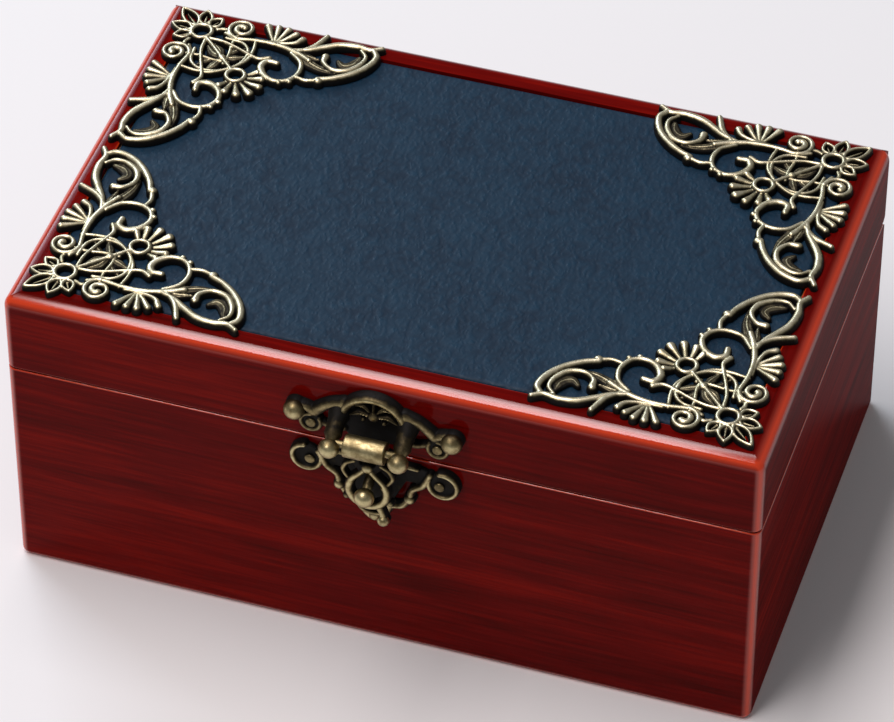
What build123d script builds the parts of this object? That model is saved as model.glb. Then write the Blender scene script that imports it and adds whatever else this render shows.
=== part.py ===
"""A lidded wooden music box with a leather-faced lid, cast corner ornaments and a drop hasp.

The origin is the centre of the underside, on the surface the box stands on. +X runs along the
front to the right, +Y runs to the back and +Z is up. The hasp is on the front, at -Y.
"""
import os
from math import atan2, ceil, cos, degrees, hypot, pi, radians, sin, tan

from build123d import *

# Driving dimensions of the case, in millimetres
WIDTH = 158.0
DEPTH = 100.6
HEIGHT = 71.8
PARTING = 53.0
RIM_GAP = 0.3
WALL = 8.5
TOP_ROUND = 3.0
SIDE_ROUND = 2.1
BOTTOM_ROUND = 1.5
RIM_BEVEL = 0.4

# Boards and linings inside the case
FELT = 1.0
PANEL = 4.0
REBATE = 4.0
BATTEN_WIDTH = 4.0
FLOOR_TOP = 17.0
FLOOR = 4.0
PARTITION = 4.0
PARTITION_X = -24.5
LINING = 1.0
CUSHION_THICK = 5.0
CUSHION_CROWN = 2.2
COVER = 2.0
COVER_Z = 45.0
LEDGE = 3.0
SOFT_GAP = 0.3

# Lid
LEATHER = 1.0
LEATHER_INSET = 5.8
LEATHER_SINK = 0.2
MIRROR_WIDTH = 112.0
MIRROR_DEPTH = 62.0
MIRROR = 2.0

# Corner ornaments
ORNAMENT_GAP = 3.1
ORNAMENT_THICK = 1.8
STROKE = 0.9

# Butt hinges
HINGE_X = 45.0
HINGE_Y = DEPTH / 2 - 3.0
HINGE_WIDTH = 20.0
HINGE_LEAF = 0.9
HINGE_REACH = 5.2
KNUCKLE_R = 2.0
KNUCKLE_HALF = 3.2
HINGE_PIN_R = 0.7
BEVEL_ANGLE = 48.5
RUNNING = 0.05

# Hasp, on the front face
FRONT = -DEPTH / 2
HASP_PLATE = 1.4
HASP_AXIS_OUT = 6.7
HASP_AXIS_Z = 59.1
HASP_PIN_R = 0.8
HASP_KNUCKLE_R = 2.4
HASP_KNUCKLE_HALF = 4.3
LUG_X = 7.2
LUG_R = 1.7

# Movement: 18 notes, on the inner floor at the left
MOVE_X = -48.5
PLATE_WIDTH = 38.0
PLATE_LENGTH = 54.0
PLATE = 1.6
PLATE_FEET = 3.0
SPRING_Y = -15.0
BELL_R = 9.5
BELL_WALL = 1.2
BELL_TOP = 39.4
CROWN_R = 11.5
CROWN_TEETH = 30
DRIVE_PINION_TEETH = 10
CROWN_Z = 26.6
CYLINDER_X = MOVE_X - 4.0
SPRING_X = CYLINDER_X
CYLINDER_R = 6.5
CYLINDER_LENGTH = 19.0
CYLINDER_Y = -0.4
NOTES = 18
PIN_PROUD = 0.8
MODULE_CYLINDER = 0.45
MODULE_TRAIN = 0.40
CYLINDER_TEETH = 36
FIRST_PINION_TEETH = 9
FIRST_WHEEL_TEETH = 32
SECOND_PINION_TEETH = 8
WORM_WHEEL_TEETH = 24
ARBOR_R = 0.9
KEY_ARBOR_R = 1.9

CROWN_PITCH = 2 * pi * CROWN_R / CROWN_TEETH
DRIVE_PINION_R = DRIVE_PINION_TEETH * CROWN_PITCH / (2 * pi)
CYLINDER_Z = CROWN_Z + DRIVE_PINION_R
PLATE_TOP = FLOOR_TOP + PLATE_FEET + PLATE
RIM_LOW = PARTING - RIM_GAP / 2
RIM_HIGH = PARTING + RIM_GAP / 2
INNER_X = WIDTH / 2 - WALL
INNER_Y = DEPTH / 2 - WALL
LEATHER_TOP = HEIGHT - LEATHER_SINK
PANEL_TOP = LEATHER_TOP - LEATHER
PANEL_LOW = PANEL_TOP - PANEL


def block(x0, x1, y0, y1, z0, z1):
    """A box between two corners."""
    size = Box(x1 - x0, y1 - y0, z1 - z0, align=(Align.MIN, Align.MIN, Align.MIN))
    return Pos(x0, y0, z0) * size


def rod(start, end, radius, sides=None):
    """A round bar from one point to another, or one with a number of flats."""
    axis = Vector(*end) - Vector(*start)
    section = RegularPolygon(radius, sides) if sides else Circle(radius)
    return extrude(Plane(origin=start, z_dir=axis) * section, axis.length)


def prism(points, plane, depth):
    """A polygon drawn on a plane and carried along its normal."""
    return extrude(plane * make_face(Polyline(*points, close=True)), depth)


def fuse(shapes):
    """One shape from many that meet or overlap."""
    shapes = list(shapes)
    result = shapes[0]
    if len(shapes) > 1:
        result = result + shapes[1:]
    return result


def rounded_frame(z0, z1):
    """The outer block of the case between two heights, with rounded upright edges."""
    outer = block(-WIDTH / 2, WIDTH / 2, -DEPTH / 2, DEPTH / 2, z0, z1)
    return fillet(outer.edges().filter_by(Axis.Z), SIDE_ROUND)


def perimeter(shape, z):
    """The outer edges of a block at one height."""
    return shape.edges().filter_by_position(Axis.Z, z, z)


def mitred(frame):
    """Cut a four-sided frame into its boards along 45 degree mitres."""
    out = 1.0
    corner_x = WIDTH / 2
    corner_y = DEPTH / 2
    outer = [
        (sx * (corner_x + out), sy * (corner_y + out))
        for sx, sy in ((-1, -1), (1, -1), (1, 1), (-1, 1))
    ]
    inner = [
        (sx * (corner_x - WALL), sy * (corner_y - WALL))
        for sx, sy in ((-1, -1), (1, -1), (1, 1), (-1, 1))
    ]
    boards = {}
    for i, side in enumerate(("front", "right", "back", "left")):
        j = (i + 1) % 4
        wedge = prism((outer[i], outer[j], inner[j], inner[i]), Plane.XY, HEIGHT + 1)
        boards[side] = frame & wedge
    return boards


def back_bevel(sign):
    """The wedge planed off a back edge, below the parting line (-1) or above it (+1)."""
    reach = 5.0
    drop = sign * reach * tan(radians(BEVEL_ANGLE))
    points = ((HINGE_Y, PARTING), (HINGE_Y + reach, PARTING), (HINGE_Y + reach, PARTING + drop))
    return Pos(-WIDTH / 2 - 1, 0, 0) * prism(points, Plane.YZ, WIDTH + 2)


def hinge_mortise(x, sign):
    """The recess in a rim for one hinge leaf and the barrel."""
    half = HINGE_WIDTH / 2 + RUNNING
    low, high = sorted((PARTING, PARTING + sign * (RIM_GAP / 2 + HINGE_LEAF)))
    leaf = block(x - half, x + half, HINGE_Y - HINGE_REACH - RUNNING, HINGE_Y, low, high)
    barrel = rod((x - half, HINGE_Y, PARTING), (x + half, HINGE_Y, PARTING), KNUCKLE_R + 0.25, ROUND_SIDES)
    return leaf + barrel


def hinge_screw_places(x):
    """Where the two screws of a leaf go."""
    return [(x + dx, HINGE_Y - 3.9) for dx in (-6.0, 6.0)]


SMALL_SIDES = 6
ROUND_SIDES = 16
LARGE_SIDES = 24
SCREW_SHANK_R = 0.7
SCREW_HEAD_R = 1.3
SCREW_HEAD = 0.6
SCREW_LENGTH = 6.0


def flat_screw(x, y, z, sign, grow=0.0):
    """A countersunk wood screw, its head at z and its point towards sign."""
    head = rod((x, y, z), (x, y, z + sign * SCREW_HEAD), SCREW_HEAD_R + grow, SMALL_SIDES)
    far_edges = head.edges().group_by(Axis.Z)[-1 if sign > 0 else 0]
    head = chamfer(far_edges, SCREW_HEAD - 0.1)
    shank = rod((x, y, z), (x, y, z + sign * SCREW_LENGTH), SCREW_SHANK_R + grow, SMALL_SIDES)
    return head + shank


def hinge_leaf(x, sign):
    """One leaf of a butt hinge: sign -1 is let into the case, +1 into the lid."""
    near = PARTING + sign * (RIM_GAP / 2)
    low, high = sorted((near, near + sign * HINGE_LEAF))
    leaf = block(x - HINGE_WIDTH / 2, x + HINGE_WIDTH / 2, HINGE_Y - HINGE_REACH, HINGE_Y, low, high)
    middle = (x - KNUCKLE_HALF, x + KNUCKLE_HALF)
    ends = ((x - HINGE_WIDTH / 2, middle[0] - 0.2), (middle[1] + 0.2, x + HINGE_WIDTH / 2))
    own = ends if sign < 0 else (middle,)
    other = (middle,) if sign < 0 else ends
    for a, b in own:
        leaf += rod((a, HINGE_Y, PARTING), (b, HINGE_Y, PARTING), KNUCKLE_R, ROUND_SIDES)
    for a, b in other:
        leaf -= rod((a - 0.2, HINGE_Y, PARTING), (b + 0.2, HINGE_Y, PARTING), KNUCKLE_R + 0.25, ROUND_SIDES)
    bore, sides = (HINGE_PIN_R + 0.01, ROUND_SIDES) if sign < 0 else (HINGE_PIN_R + RUNNING, None)
    leaf -= rod((x - 11, HINGE_Y, PARTING), (x + 11, HINGE_Y, PARTING), bore, sides)
    for sx, sy in hinge_screw_places(x):
        leaf -= flat_screw(sx, sy, near, sign, 0.02)
    return leaf


def make_hinges(parts):
    """Two three-knuckle butt hinges, let into the rims at the back."""
    pins = []
    screws = {-1: [], 1: []}
    for side, x in (("left", -HINGE_X), ("right", HINGE_X)):
        parts[f"hinge_case_leaf_{side}"] = hinge_leaf(x, -1)
        parts[f"hinge_lid_leaf_{side}"] = hinge_leaf(x, 1)
        half = HINGE_WIDTH / 2
        pins.append(rod((x - half, HINGE_Y, PARTING), (x + half, HINGE_Y, PARTING), HINGE_PIN_R, ROUND_SIDES))
        for sign in (-1, 1):
            for sx, sy in hinge_screw_places(x):
                screws[sign].append(flat_screw(sx, sy, PARTING + sign * RIM_GAP / 2, sign))
    parts["hinge_pins"] = Compound(children=pins)
    parts["hinge_case_screws"] = Compound(children=screws[-1])
    parts["hinge_lid_screws"] = Compound(children=screws[1])


def rim_cuts(sign):
    """Everything planed, let in or drilled at a rim for the hinges."""
    cuts = [back_bevel(sign)]
    for x in (-HINGE_X, HINGE_X):
        cuts.append(hinge_mortise(x, sign))
        for sx, sy in hinge_screw_places(x):
            cuts.append(flat_screw(sx, sy, PARTING + sign * RIM_GAP / 2, sign, 0.02))
    return cuts


def make_case(parts):
    """The four mitred boards of the case, with the rebate for the underside."""
    frame = rounded_frame(0, RIM_LOW)
    frame = fillet(perimeter(frame, 0), BOTTOM_ROUND)
    frame = chamfer(perimeter(frame, RIM_LOW), RIM_BEVEL)
    frame -= block(-INNER_X, INNER_X, -INNER_Y, INNER_Y, -1, HEIGHT)
    rebate_x = INNER_X + REBATE
    rebate_y = INNER_Y + REBATE
    frame -= block(-rebate_x, rebate_x, -rebate_y, rebate_y, -1, FELT + PANEL)
    for cut in rim_cuts(-1) + keeper_nails(0.02):
        frame -= cut
    for side, board in mitred(frame).items():
        parts[f"case_{side}_board"] = board


KEY_HOLE_R = 15.0


def make_underside(parts):
    """The bottom panel and its felt, both with the finger hole for the key."""
    x = INNER_X + REBATE
    y = INNER_Y + REBATE
    hole = rod((SPRING_X, SPRING_Y, -1), (SPRING_X, SPRING_Y, 20), KEY_HOLE_R, LARGE_SIDES)
    parts["bottom_panel"] = block(-x, x, -y, y, FELT, FELT + PANEL) - hole
    inset = SOFT_GAP
    felt = block(-x + inset, x - inset, -y + inset, y - inset, 0, FELT)
    wider = rod((SPRING_X, SPRING_Y, -1), (SPRING_X, SPRING_Y, 20), KEY_HOLE_R + 1.5, LARGE_SIDES)
    parts["felt_sole"] = felt - wider


def make_inner_floor(parts):
    """The inner floor on two battens, and the partition beside the movement."""
    low = FELT + PANEL
    under = FLOOR_TOP - FLOOR
    for side, sign in (("left", -1), ("right", 1)):
        x0, x1 = sorted((sign * INNER_X, sign * (INNER_X - BATTEN_WIDTH)))
        parts[f"floor_batten_{side}"] = block(x0, x1, -INNER_Y, INNER_Y, low, under)
    floor = block(-INNER_X, INNER_X, -INNER_Y, INNER_Y, under, FLOOR_TOP)
    floor -= rod((SPRING_X, SPRING_Y, 0), (SPRING_X, SPRING_Y, 20), KEY_ARBOR_R + 2.0, ROUND_SIDES)
    for cut in movement_screws(0.02):
        floor -= cut
    parts["inner_floor"] = floor
    x0 = PARTITION_X - PARTITION / 2
    x1 = PARTITION_X + PARTITION / 2
    wall = block(x0, x1, -INNER_Y, INNER_Y, FLOOR_TOP, RIM_LOW - 4)
    parts["partition_board"] = fillet(wall.edges().filter_by(Axis.Y).group_by(Axis.Z)[-1], 1.5)


TRAY_X0 = PARTITION_X + PARTITION / 2
TRAY_X1 = INNER_X


def make_tray(parts):
    """The jewellery side: a velvet lining round its walls and a crowned cushion on its floor."""
    top = RIM_LOW - 6
    lining = block(TRAY_X0, TRAY_X1, -INNER_Y, INNER_Y, FLOOR_TOP, top)
    lining -= block(
        TRAY_X0 + LINING, TRAY_X1 - LINING, -INNER_Y + LINING, INNER_Y - LINING, FLOOR_TOP - 1, top + 1
    )
    parts["velvet_wall_lining"] = lining
    gap = LINING + SOFT_GAP
    x0, x1 = TRAY_X0 + gap, TRAY_X1 - gap
    y0, y1 = -INNER_Y + gap, INNER_Y - gap
    body = block(x0, x1, y0, y1, FLOOR_TOP, FLOOR_TOP + CUSHION_THICK)
    body = chamfer(body.edges().filter_by(Axis.Z), 4.0)
    body = chamfer(body.edges().group_by(Axis.Z)[-1], 2.4)
    body = chamfer(body.edges().group_by(Axis.Z)[0], 1.8)
    top = FLOOR_TOP + CUSHION_THICK
    crown = block(x0 + 4, x1 - 4, y0 + 4, y1 - 4, top - 0.1, top + CUSHION_CROWN)
    crown_top = crown.faces().sort_by(Axis.Z)[-1]
    crown = chamfer(crown_top.edges(), 16.0, CUSHION_CROWN, reference=crown_top)
    parts["tray_cushion"] = body + crown


def make_cover(parts):
    """The clear cover over the movement, on a ledge at the front and one at the back."""
    x0 = -INNER_X
    x1 = PARTITION_X - PARTITION / 2
    front = block(x0, x1, -INNER_Y, -INNER_Y + LEDGE, FLOOR_TOP, COVER_Z)
    back = block(x0, x1, INNER_Y - LEDGE, INNER_Y, FLOOR_TOP, COVER_Z)
    parts["cover_ledges"] = Compound(children=[front, back])
    cover = block(x0 + 0.2, x1 - 0.2, -INNER_Y + 0.2, INNER_Y - 0.2, COVER_Z, COVER_Z + COVER)
    cover -= block(x0 - 1, x0 + 9.0, STOP_Y - 3.0, INNER_Y + 1, COVER_Z - 1, COVER_Z + COVER + 1)
    cover -= rod((x1 - 9.0, 0, COVER_Z - 1), (x1 - 9.0, 0, COVER_Z + COVER + 1), 7.0, LARGE_SIDES)
    parts["movement_cover"] = cover


def make_lid(parts):
    """The four mitred rails, the panel between them and what faces it on both sides."""
    frame = chamfer(perimeter(rounded_frame(RIM_HIGH, HEIGHT), RIM_HIGH), RIM_BEVEL)
    for plane, span, length in ((Plane.YZ, DEPTH, WIDTH), (Plane.XZ, WIDTH, DEPTH)):
        section = Pos(0, HEIGHT / 2) * RectangleRounded(span, HEIGHT, TOP_ROUND)
        frame &= extrude(plane * section, length, both=True)
    frame -= block(-INNER_X, INNER_X, -INNER_Y, INNER_Y, 0, HEIGHT + 1)
    x = WIDTH / 2 - LEATHER_INSET
    y = DEPTH / 2 - LEATHER_INSET
    frame -= block(-x, x, -y, y, PANEL_LOW, HEIGHT + 1)
    for cut in rim_cuts(1) + hasp_nails(0.02):
        frame -= cut
    for side, board in mitred(frame).items():
        parts[f"lid_{side}_rail"] = board
    parts["lid_panel"] = block(-x, x, -y, y, PANEL_LOW, PANEL_TOP)
    trim = 0.35
    leather = block(-x + trim, x - trim, -y + trim, y - trim, PANEL_TOP, LEATHER_TOP)
    parts["leather_inlay"] = chamfer(perimeter(leather, LEATHER_TOP), 0.3)
    lining_low = PANEL_LOW - LINING
    lining = block(
        -INNER_X + SOFT_GAP, INNER_X - SOFT_GAP, -INNER_Y + SOFT_GAP, INNER_Y - SOFT_GAP, lining_low, PANEL_LOW
    )
    parts["lid_lining"] = lining
    glass = block(
        -MIRROR_WIDTH / 2, MIRROR_WIDTH / 2, -MIRROR_DEPTH / 2, MIRROR_DEPTH / 2, lining_low - MIRROR, lining_low
    )
    parts["lid_mirror"] = chamfer(perimeter(glass, lining_low - MIRROR), 1.2)


ARC_STEP = 66.0
FLOWER = (7.2, 7.2)
TRELLIS = (13.6, 13.6)
SHELL = (18.9, 18.9)
SNAIL = (15.4, 3.9)
STEM = (26.5, 8.2)
CREST = (26.2, 13.8)
PEAK = (35.2, 14.8)
TEAR = (37.6, 6.8)


def bend(centre, start, sweep, first_r, last_r=None):
    """Points along an arc, its radius running evenly from the first to the last."""
    steps = ceil(abs(sweep) / ARC_STEP)
    last_r = first_r if last_r is None else last_r
    points = []
    for i in range(steps + 1):
        angle = radians(start + sweep * i / steps)
        radius = first_r + (last_r - first_r) * i / steps
        points.append((centre[0] + radius * cos(angle), centre[1] + radius * sin(angle)))
    return points


def stroke(points, width, tip=None):
    """A stroke along a run of points, as a flat face, from its width to the width at its tip."""
    tip = width if tip is None else tip
    last = len(points) - 1
    left = []
    right = []
    for i, (x, y) in enumerate(points):
        before = points[max(i - 1, 0)]
        after = points[min(i + 1, last)]
        along = (after[0] - before[0], after[1] - before[1])
        half = (width + (tip - width) * i / last) / 2 / hypot(*along)
        left.append((x - along[1] * half, y + along[0] * half))
        right.append((x + along[1] * half, y - along[0] * half))
    return make_face(Polyline(*left, *reversed(right), close=True))


def spoke(centre, angle, near, far, width):
    """A ray from a centre, broader at its tip."""
    direction = (cos(radians(angle)), sin(radians(angle)))
    ends = [tuple(centre[k] + reach * direction[k] for k in (0, 1)) for reach in (near, far)]
    return stroke(ends, width / 2, width)


def hoop(centre, radius, width):
    """A ring with short flats, as a flat face."""
    sides = round(360 / ARC_STEP)
    ring = RegularPolygon(radius + width / 2, sides) - RegularPolygon(radius - width / 2, sides)
    return Pos(*centre) * ring


def ornament_leg():
    """The strokes along one leg of a corner, below its diagonal."""
    wide = STROKE * 1.35
    strokes = [
        stroke(bend(SNAIL, 100, 420, 3.4, 1.2), wide),
        stroke(bend(CREST, -75, 300, 3.6, 2.4), wide),
        stroke(bend(TEAR, -130, 205, 6.3), wide),
        stroke(bend(TEAR, 0, 300, 5.8, 2.0), STROKE),
        stroke([(SNAIL[0] - 0.6, SNAIL[1] + 3.2), STEM], wide),
        stroke([STEM, PEAK, (39.6, 12.7)], wide),
        stroke([(29.0, 15.8), PEAK], STROKE),
        stroke([STEM, (33.8, 1.9)], wide),
        stroke([(42.2, 2.6), (45.3, 0.7)], STROKE),
    ]
    for i in range(3):
        strokes.append(spoke((22.4, 8.2), -112 + 30 * i, 0.8, 7.2 - 0.6 * i, 2.2))
    return strokes


def ornament_diagonal():
    """The strokes on the diagonal of a corner: flower, trellis and shell."""
    strokes = [hoop(FLOWER, 2.2, STROKE), hoop(TRELLIS, 4.6, STROKE), hoop(SHELL, 2.2, STROKE)]
    for angle, reach in ((225, 9.6), (259, 7.0), (191, 7.0), (292, 6.0), (158, 6.0)):
        strokes.append(spoke(FLOWER, angle, 1.9, reach, 2.4))
    strokes.append(stroke([(8.7, 8.7), (18.0, 18.0)], 1.6))
    strokes.append(stroke([(10.0, 17.0), (17.0, 10.0)], 1.2))
    for i in range(5):
        strokes.append(spoke(SHELL, -27 + 36 * i, 2.0, 6.6, 2.0))
    a = (TRELLIS[0] + 2.6, 6.8)
    b = (TRELLIS[0] + 2.6, 17.0)
    return strokes + [stroke([a, b], STROKE), stroke([a[::-1], b[::-1]], STROKE)]


def corner_outline():
    """The whole pierced corner as one flat face, its corner at the origin."""
    leg = ornament_leg()
    mirrored = [mirror(face, about=Plane(origin=(0, 0, 0), z_dir=(1, -1, 0))) for face in leg]
    return fuse(ornament_diagonal() + leg + mirrored)


def make_ornaments(parts):
    """Four pierced corners: each is the same casting, turned a quarter turn from the last."""
    corner = Pos(0, 0, HEIGHT) * extrude(corner_outline(), ORNAMENT_THICK)
    x = WIDTH / 2 - ORNAMENT_GAP
    y = DEPTH / 2 - ORNAMENT_GAP
    corners = ("front_left", -x, -y), ("front_right", x, -y), ("back_right", x, y), ("back_left", -x, y)
    for i, (name, corner_x, corner_y) in enumerate(corners):
        parts[f"ornament_{name}"] = Pos(corner_x, corner_y, 0) * Rot(0, 0, 90 * i) * corner


NAIL_R = 0.6
NAIL_HEAD_R = 1.1
NAIL_HEAD = 0.5
NAIL_LENGTH = 6.0
UPPER_NAIL = (13.2, 57.9)
LOWER_NAIL = (13.6, 47.9)


def nail(x, z, proud, grow=0.0):
    """An escutcheon nail driven into the front."""
    start = FRONT - proud
    shank = rod((x, start - 0.1, z), (x, start + NAIL_LENGTH, z), NAIL_R + grow, SMALL_SIDES)
    return shank + rod((x, start - NAIL_HEAD, z), (x, start, z), NAIL_HEAD_R, SMALL_SIDES)


def hasp_nails(grow=0.0):
    """The nails of the upper plate."""
    return [nail(s * UPPER_NAIL[0], UPPER_NAIL[1], HASP_PLATE, grow) for s in (-1, 1)]


def keeper_nails(grow=0.0):
    """The nails of the lower plate."""
    return [nail(s * LOWER_NAIL[0], LOWER_NAIL[1], HASP_PLATE, grow) for s in (-1, 1)]


def on_front(face, low, high):
    """A face drawn in X and Z, carried from one distance in front of the case to another."""
    plane = Plane(origin=(0, FRONT - low, 0), x_dir=(1, 0, 0), z_dir=(0, -1, 0))
    return extrude(plane * face, high - low)


def bead(x, z, low, high, radius):
    """A domed head with eight flats, standing on the front."""
    body = on_front(Pos(x, z) * RegularPolygon(radius, 8), low, high)
    return chamfer(body.edges().group_by(Axis.Y)[0], radius * 0.45)


def make_hasp(parts):
    """Upper plate with its lugs, the pin, the hanging flap and the lower plate with its peg."""
    arch = bend((0, 61.4), -20, 220, 7.6)
    plate = make_face(Polyline(*arch, (-5.8, 56.6), (5.8, 56.6), close=True))
    for s in (-1, 1):
        plate += stroke([(s * 5.5, 64.0), (s * 14.2, 60.2)], 3.6)
        plate += Pos(s * UPPER_NAIL[0], UPPER_NAIL[1]) * RegularPolygon(2.6, 10)
        plate += Pos(s * 16.4, 61.2) * RegularPolygon(2.4, 10)
    upper = on_front(plate, 0, HASP_PLATE)
    upper += on_front(stroke(bend((0, 61.4), 15, 150, 6.7), 1.8), 0.5, HASP_PLATE + 1.2)
    tip_out = 8.4
    tip_z = HASP_AXIS_Z - 0.6
    for s in (-1, 1):
        root = (s * LUG_X, FRONT - 0.6, 62.6)
        upper += rod(root, (s * LUG_X, FRONT - tip_out, tip_z), LUG_R, 8)
        upper += bead(s * LUG_X, tip_z, tip_out - LUG_R, tip_out + LUG_R, LUG_R)
        upper += bead(s * 16.4, 61.2, 1.0, HASP_PLATE + 1.9, 1.9)
    upper -= block(-20, 20, FRONT, FRONT + 5, 40, 80)
    axis_y = FRONT - HASP_AXIS_OUT
    pin_half = LUG_X + 0.4
    pin = rod((-pin_half, axis_y, HASP_AXIS_Z), (pin_half, axis_y, HASP_AXIS_Z), HASP_PIN_R, ROUND_SIDES)
    upper -= pin
    for cut in hasp_nails(0.02):
        upper -= cut
    parts["hasp_upper_plate"] = upper
    parts["hasp_pin"] = pin
    parts["hasp_upper_nails"] = Compound(children=hasp_nails())
    make_flap(parts)
    make_keeper(parts)


FLAP_OUT = 5.6
FLAP_THICK = 1.3
RING_Z = 46.8
RING_R = 4.0


def make_flap(parts):
    """The hanging flap: knuckle, shield, raised ring round the peg and a finger ball."""
    axis_y = FRONT - HASP_AXIS_OUT
    half = HASP_KNUCKLE_HALF
    shield = make_face(
        Polyline(
            (-3.6, 58.0), (3.6, 58.0), (5.6, 51.0), (5.2, 46.0), (3.9, 41.6), (0.6, 39.8),
            (-3.9, 41.6), (-5.2, 46.0), (-5.6, 51.0), close=True,
        )
    )
    hole = Pos(0, RING_Z) * RegularPolygon(RING_R - 0.6, 12)
    ring = Pos(0, RING_Z) * RegularPolygon(RING_R + 0.5, 12) - hole
    back = FLAP_OUT - FLAP_THICK
    flap = on_front(shield - hole - Pos(0, 54.0) * Rectangle(3.6, 1.8), back, FLAP_OUT)
    flap += on_front(ring, back, FLAP_OUT + 0.7)
    flap += rod((-half, axis_y, HASP_AXIS_Z), (half, axis_y, HASP_AXIS_Z), HASP_KNUCKLE_R, ROUND_SIDES)
    flap += on_front(stroke([(2.6, 43.0), (3.2, 39.5)], 1.6), back, FLAP_OUT)
    flap += bead(3.2, 39.5, back - 0.2, FLAP_OUT + 1.0, 1.3)
    flap -= rod((-half - 1, axis_y, HASP_AXIS_Z), (half + 1, axis_y, HASP_AXIS_Z), HASP_PIN_R + RUNNING)
    parts["hasp_flap"] = flap


def make_keeper(parts):
    """The lower plate with scroll ends and the peg that the flap's ring drops over."""
    plate = make_face(
        Polyline(
            (-10.5, 51.8), (10.5, 51.8), (14.0, 49.0), (9.4, 43.4), (7.0, 40.4), (0.0, 34.6),
            (-7.0, 40.4), (-9.4, 43.4), (-14.0, 49.0), close=True,
        )
    )
    for s in (-1, 1):
        plate += Pos(s * 14.2, 48.3) * RegularPolygon(3.9, 12)
    keeper = on_front(plate, 0, HASP_PLATE)
    for s in (-1, 1):
        scroll = bend((s * 14.2, 48.3), 90, -s * 230, 3.2)
        keeper += on_front(stroke(scroll, 1.3), 0.5, HASP_PLATE + 0.8)
    keeper += rod((0, FRONT - 0.6, 50.2), (0, FRONT - 8.0, 46.7), 1.1, 8)
    keeper += bead(0, 46.7, 6.4, 10.1, 2.1)
    keeper -= block(-20, 20, FRONT, FRONT + 5, 30, 60)
    for cut in keeper_nails(0.02):
        keeper -= cut
    parts["keeper_plate"] = keeper
    parts["keeper_nails"] = Compound(children=keeper_nails())


def toothed_outline(teeth, module, land, phase=0.0, depth_out=1.0, depth_in=1.2):
    """A wheel's outline: land is the tooth thickness as a share of the pitch."""
    pitch_r = teeth * module / 2
    root = pitch_r - depth_in * module
    tip = pitch_r + depth_out * module
    step = 2 * pi / teeth
    points = []
    for i in range(teeth):
        middle = phase + i * step
        for radius, share in ((root, -0.95), (tip, -0.45), (tip, 0.45), (root, 0.95)):
            angle = middle + share * land * step
            points.append((radius * cos(angle), radius * sin(angle)))
    return make_face(Polyline(*points, close=True))


def wheel_y(x, z, y0, y1, outline, bore):
    """A toothed wheel on an axis along Y, its outline drawn as seen from the front."""
    plane = Plane(origin=(x, y1, z), x_dir=(1, 0, 0), z_dir=(0, -1, 0))
    return extrude(plane * (outline - Circle(bore)), y1 - y0)


FIRST_DISTANCE = MODULE_CYLINDER * (CYLINDER_TEETH + FIRST_PINION_TEETH) / 2
SECOND_DISTANCE = MODULE_TRAIN * (FIRST_WHEEL_TEETH + SECOND_PINION_TEETH) / 2
FIRST_ANGLE = 190.0
SECOND_ANGLE = 60.0
FIRST_X = CYLINDER_X + FIRST_DISTANCE * cos(radians(FIRST_ANGLE))
FIRST_Z = CYLINDER_Z + FIRST_DISTANCE * sin(radians(FIRST_ANGLE))
SECOND_X = FIRST_X + SECOND_DISTANCE * cos(radians(SECOND_ANGLE))
SECOND_Z = FIRST_Z + SECOND_DISTANCE * sin(radians(SECOND_ANGLE))

# Where the wheels and frames of the movement stand along Y
PINION_Y = SPRING_Y + CROWN_R
GEAR_Y = CYLINDER_Y + CYLINDER_LENGTH + 0.4
FRAME_Y = GEAR_Y + 1.5
TRAIN_Y = FRAME_Y + 1.1
WORM_WHEEL_Y = TRAIN_Y + 1.75
WORM_Y = WORM_WHEEL_Y + 0.45
BACK_Y = WORM_Y + 2.15

LAND = 0.34
WORM_R = 1.5
WORM_CORE_R = 1.0
WORM_ARBOR_R = 0.55
WORM_X = SECOND_X + MODULE_TRAIN * WORM_WHEEL_TEETH / 2 + WORM_R
WORM_PITCH = pi * MODULE_TRAIN
FAN_Z = 41.1
FAN_HEIGHT = 2.5
FAN_R = 5.5
FOOT_PLACES = [(MOVE_X + sx * 15.5, sy * 23.5) for sx in (-1, 1) for sy in (-1, 1)]
BED_X = CYLINDER_X + 16.9


def movement_screws(grow=0.0):
    """Four screws up through the inner floor into the feet of the bedplate."""
    under = FLOOR_TOP - FLOOR
    screws = []
    for x, y in FOOT_PLACES:
        shank = rod((x, y, under - 0.1), (x, y, FLOOR_TOP + PLATE_FEET), 1.0 + grow, SMALL_SIDES)
        screws.append(shank + rod((x, y, under - 1.2), (x, y, under), 2.0, SMALL_SIDES))
    return screws


def comb_screws(grow=0.0):
    """Two screws that hold the comb down on its bed."""
    screws = []
    for y in (CYLINDER_Y + 3.5, CYLINDER_Y + CYLINDER_LENGTH - 3.5):
        x = BED_X + 3.4
        shank = rod((x, y, CYLINDER_Z - 5), (x, y, CYLINDER_Z + 0.4), 0.9 + grow, SMALL_SIDES)
        screws.append(shank + rod((x, y, CYLINDER_Z + 0.3), (x, y, CYLINDER_Z + 1.3), 1.7, 12))
    return screws


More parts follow.
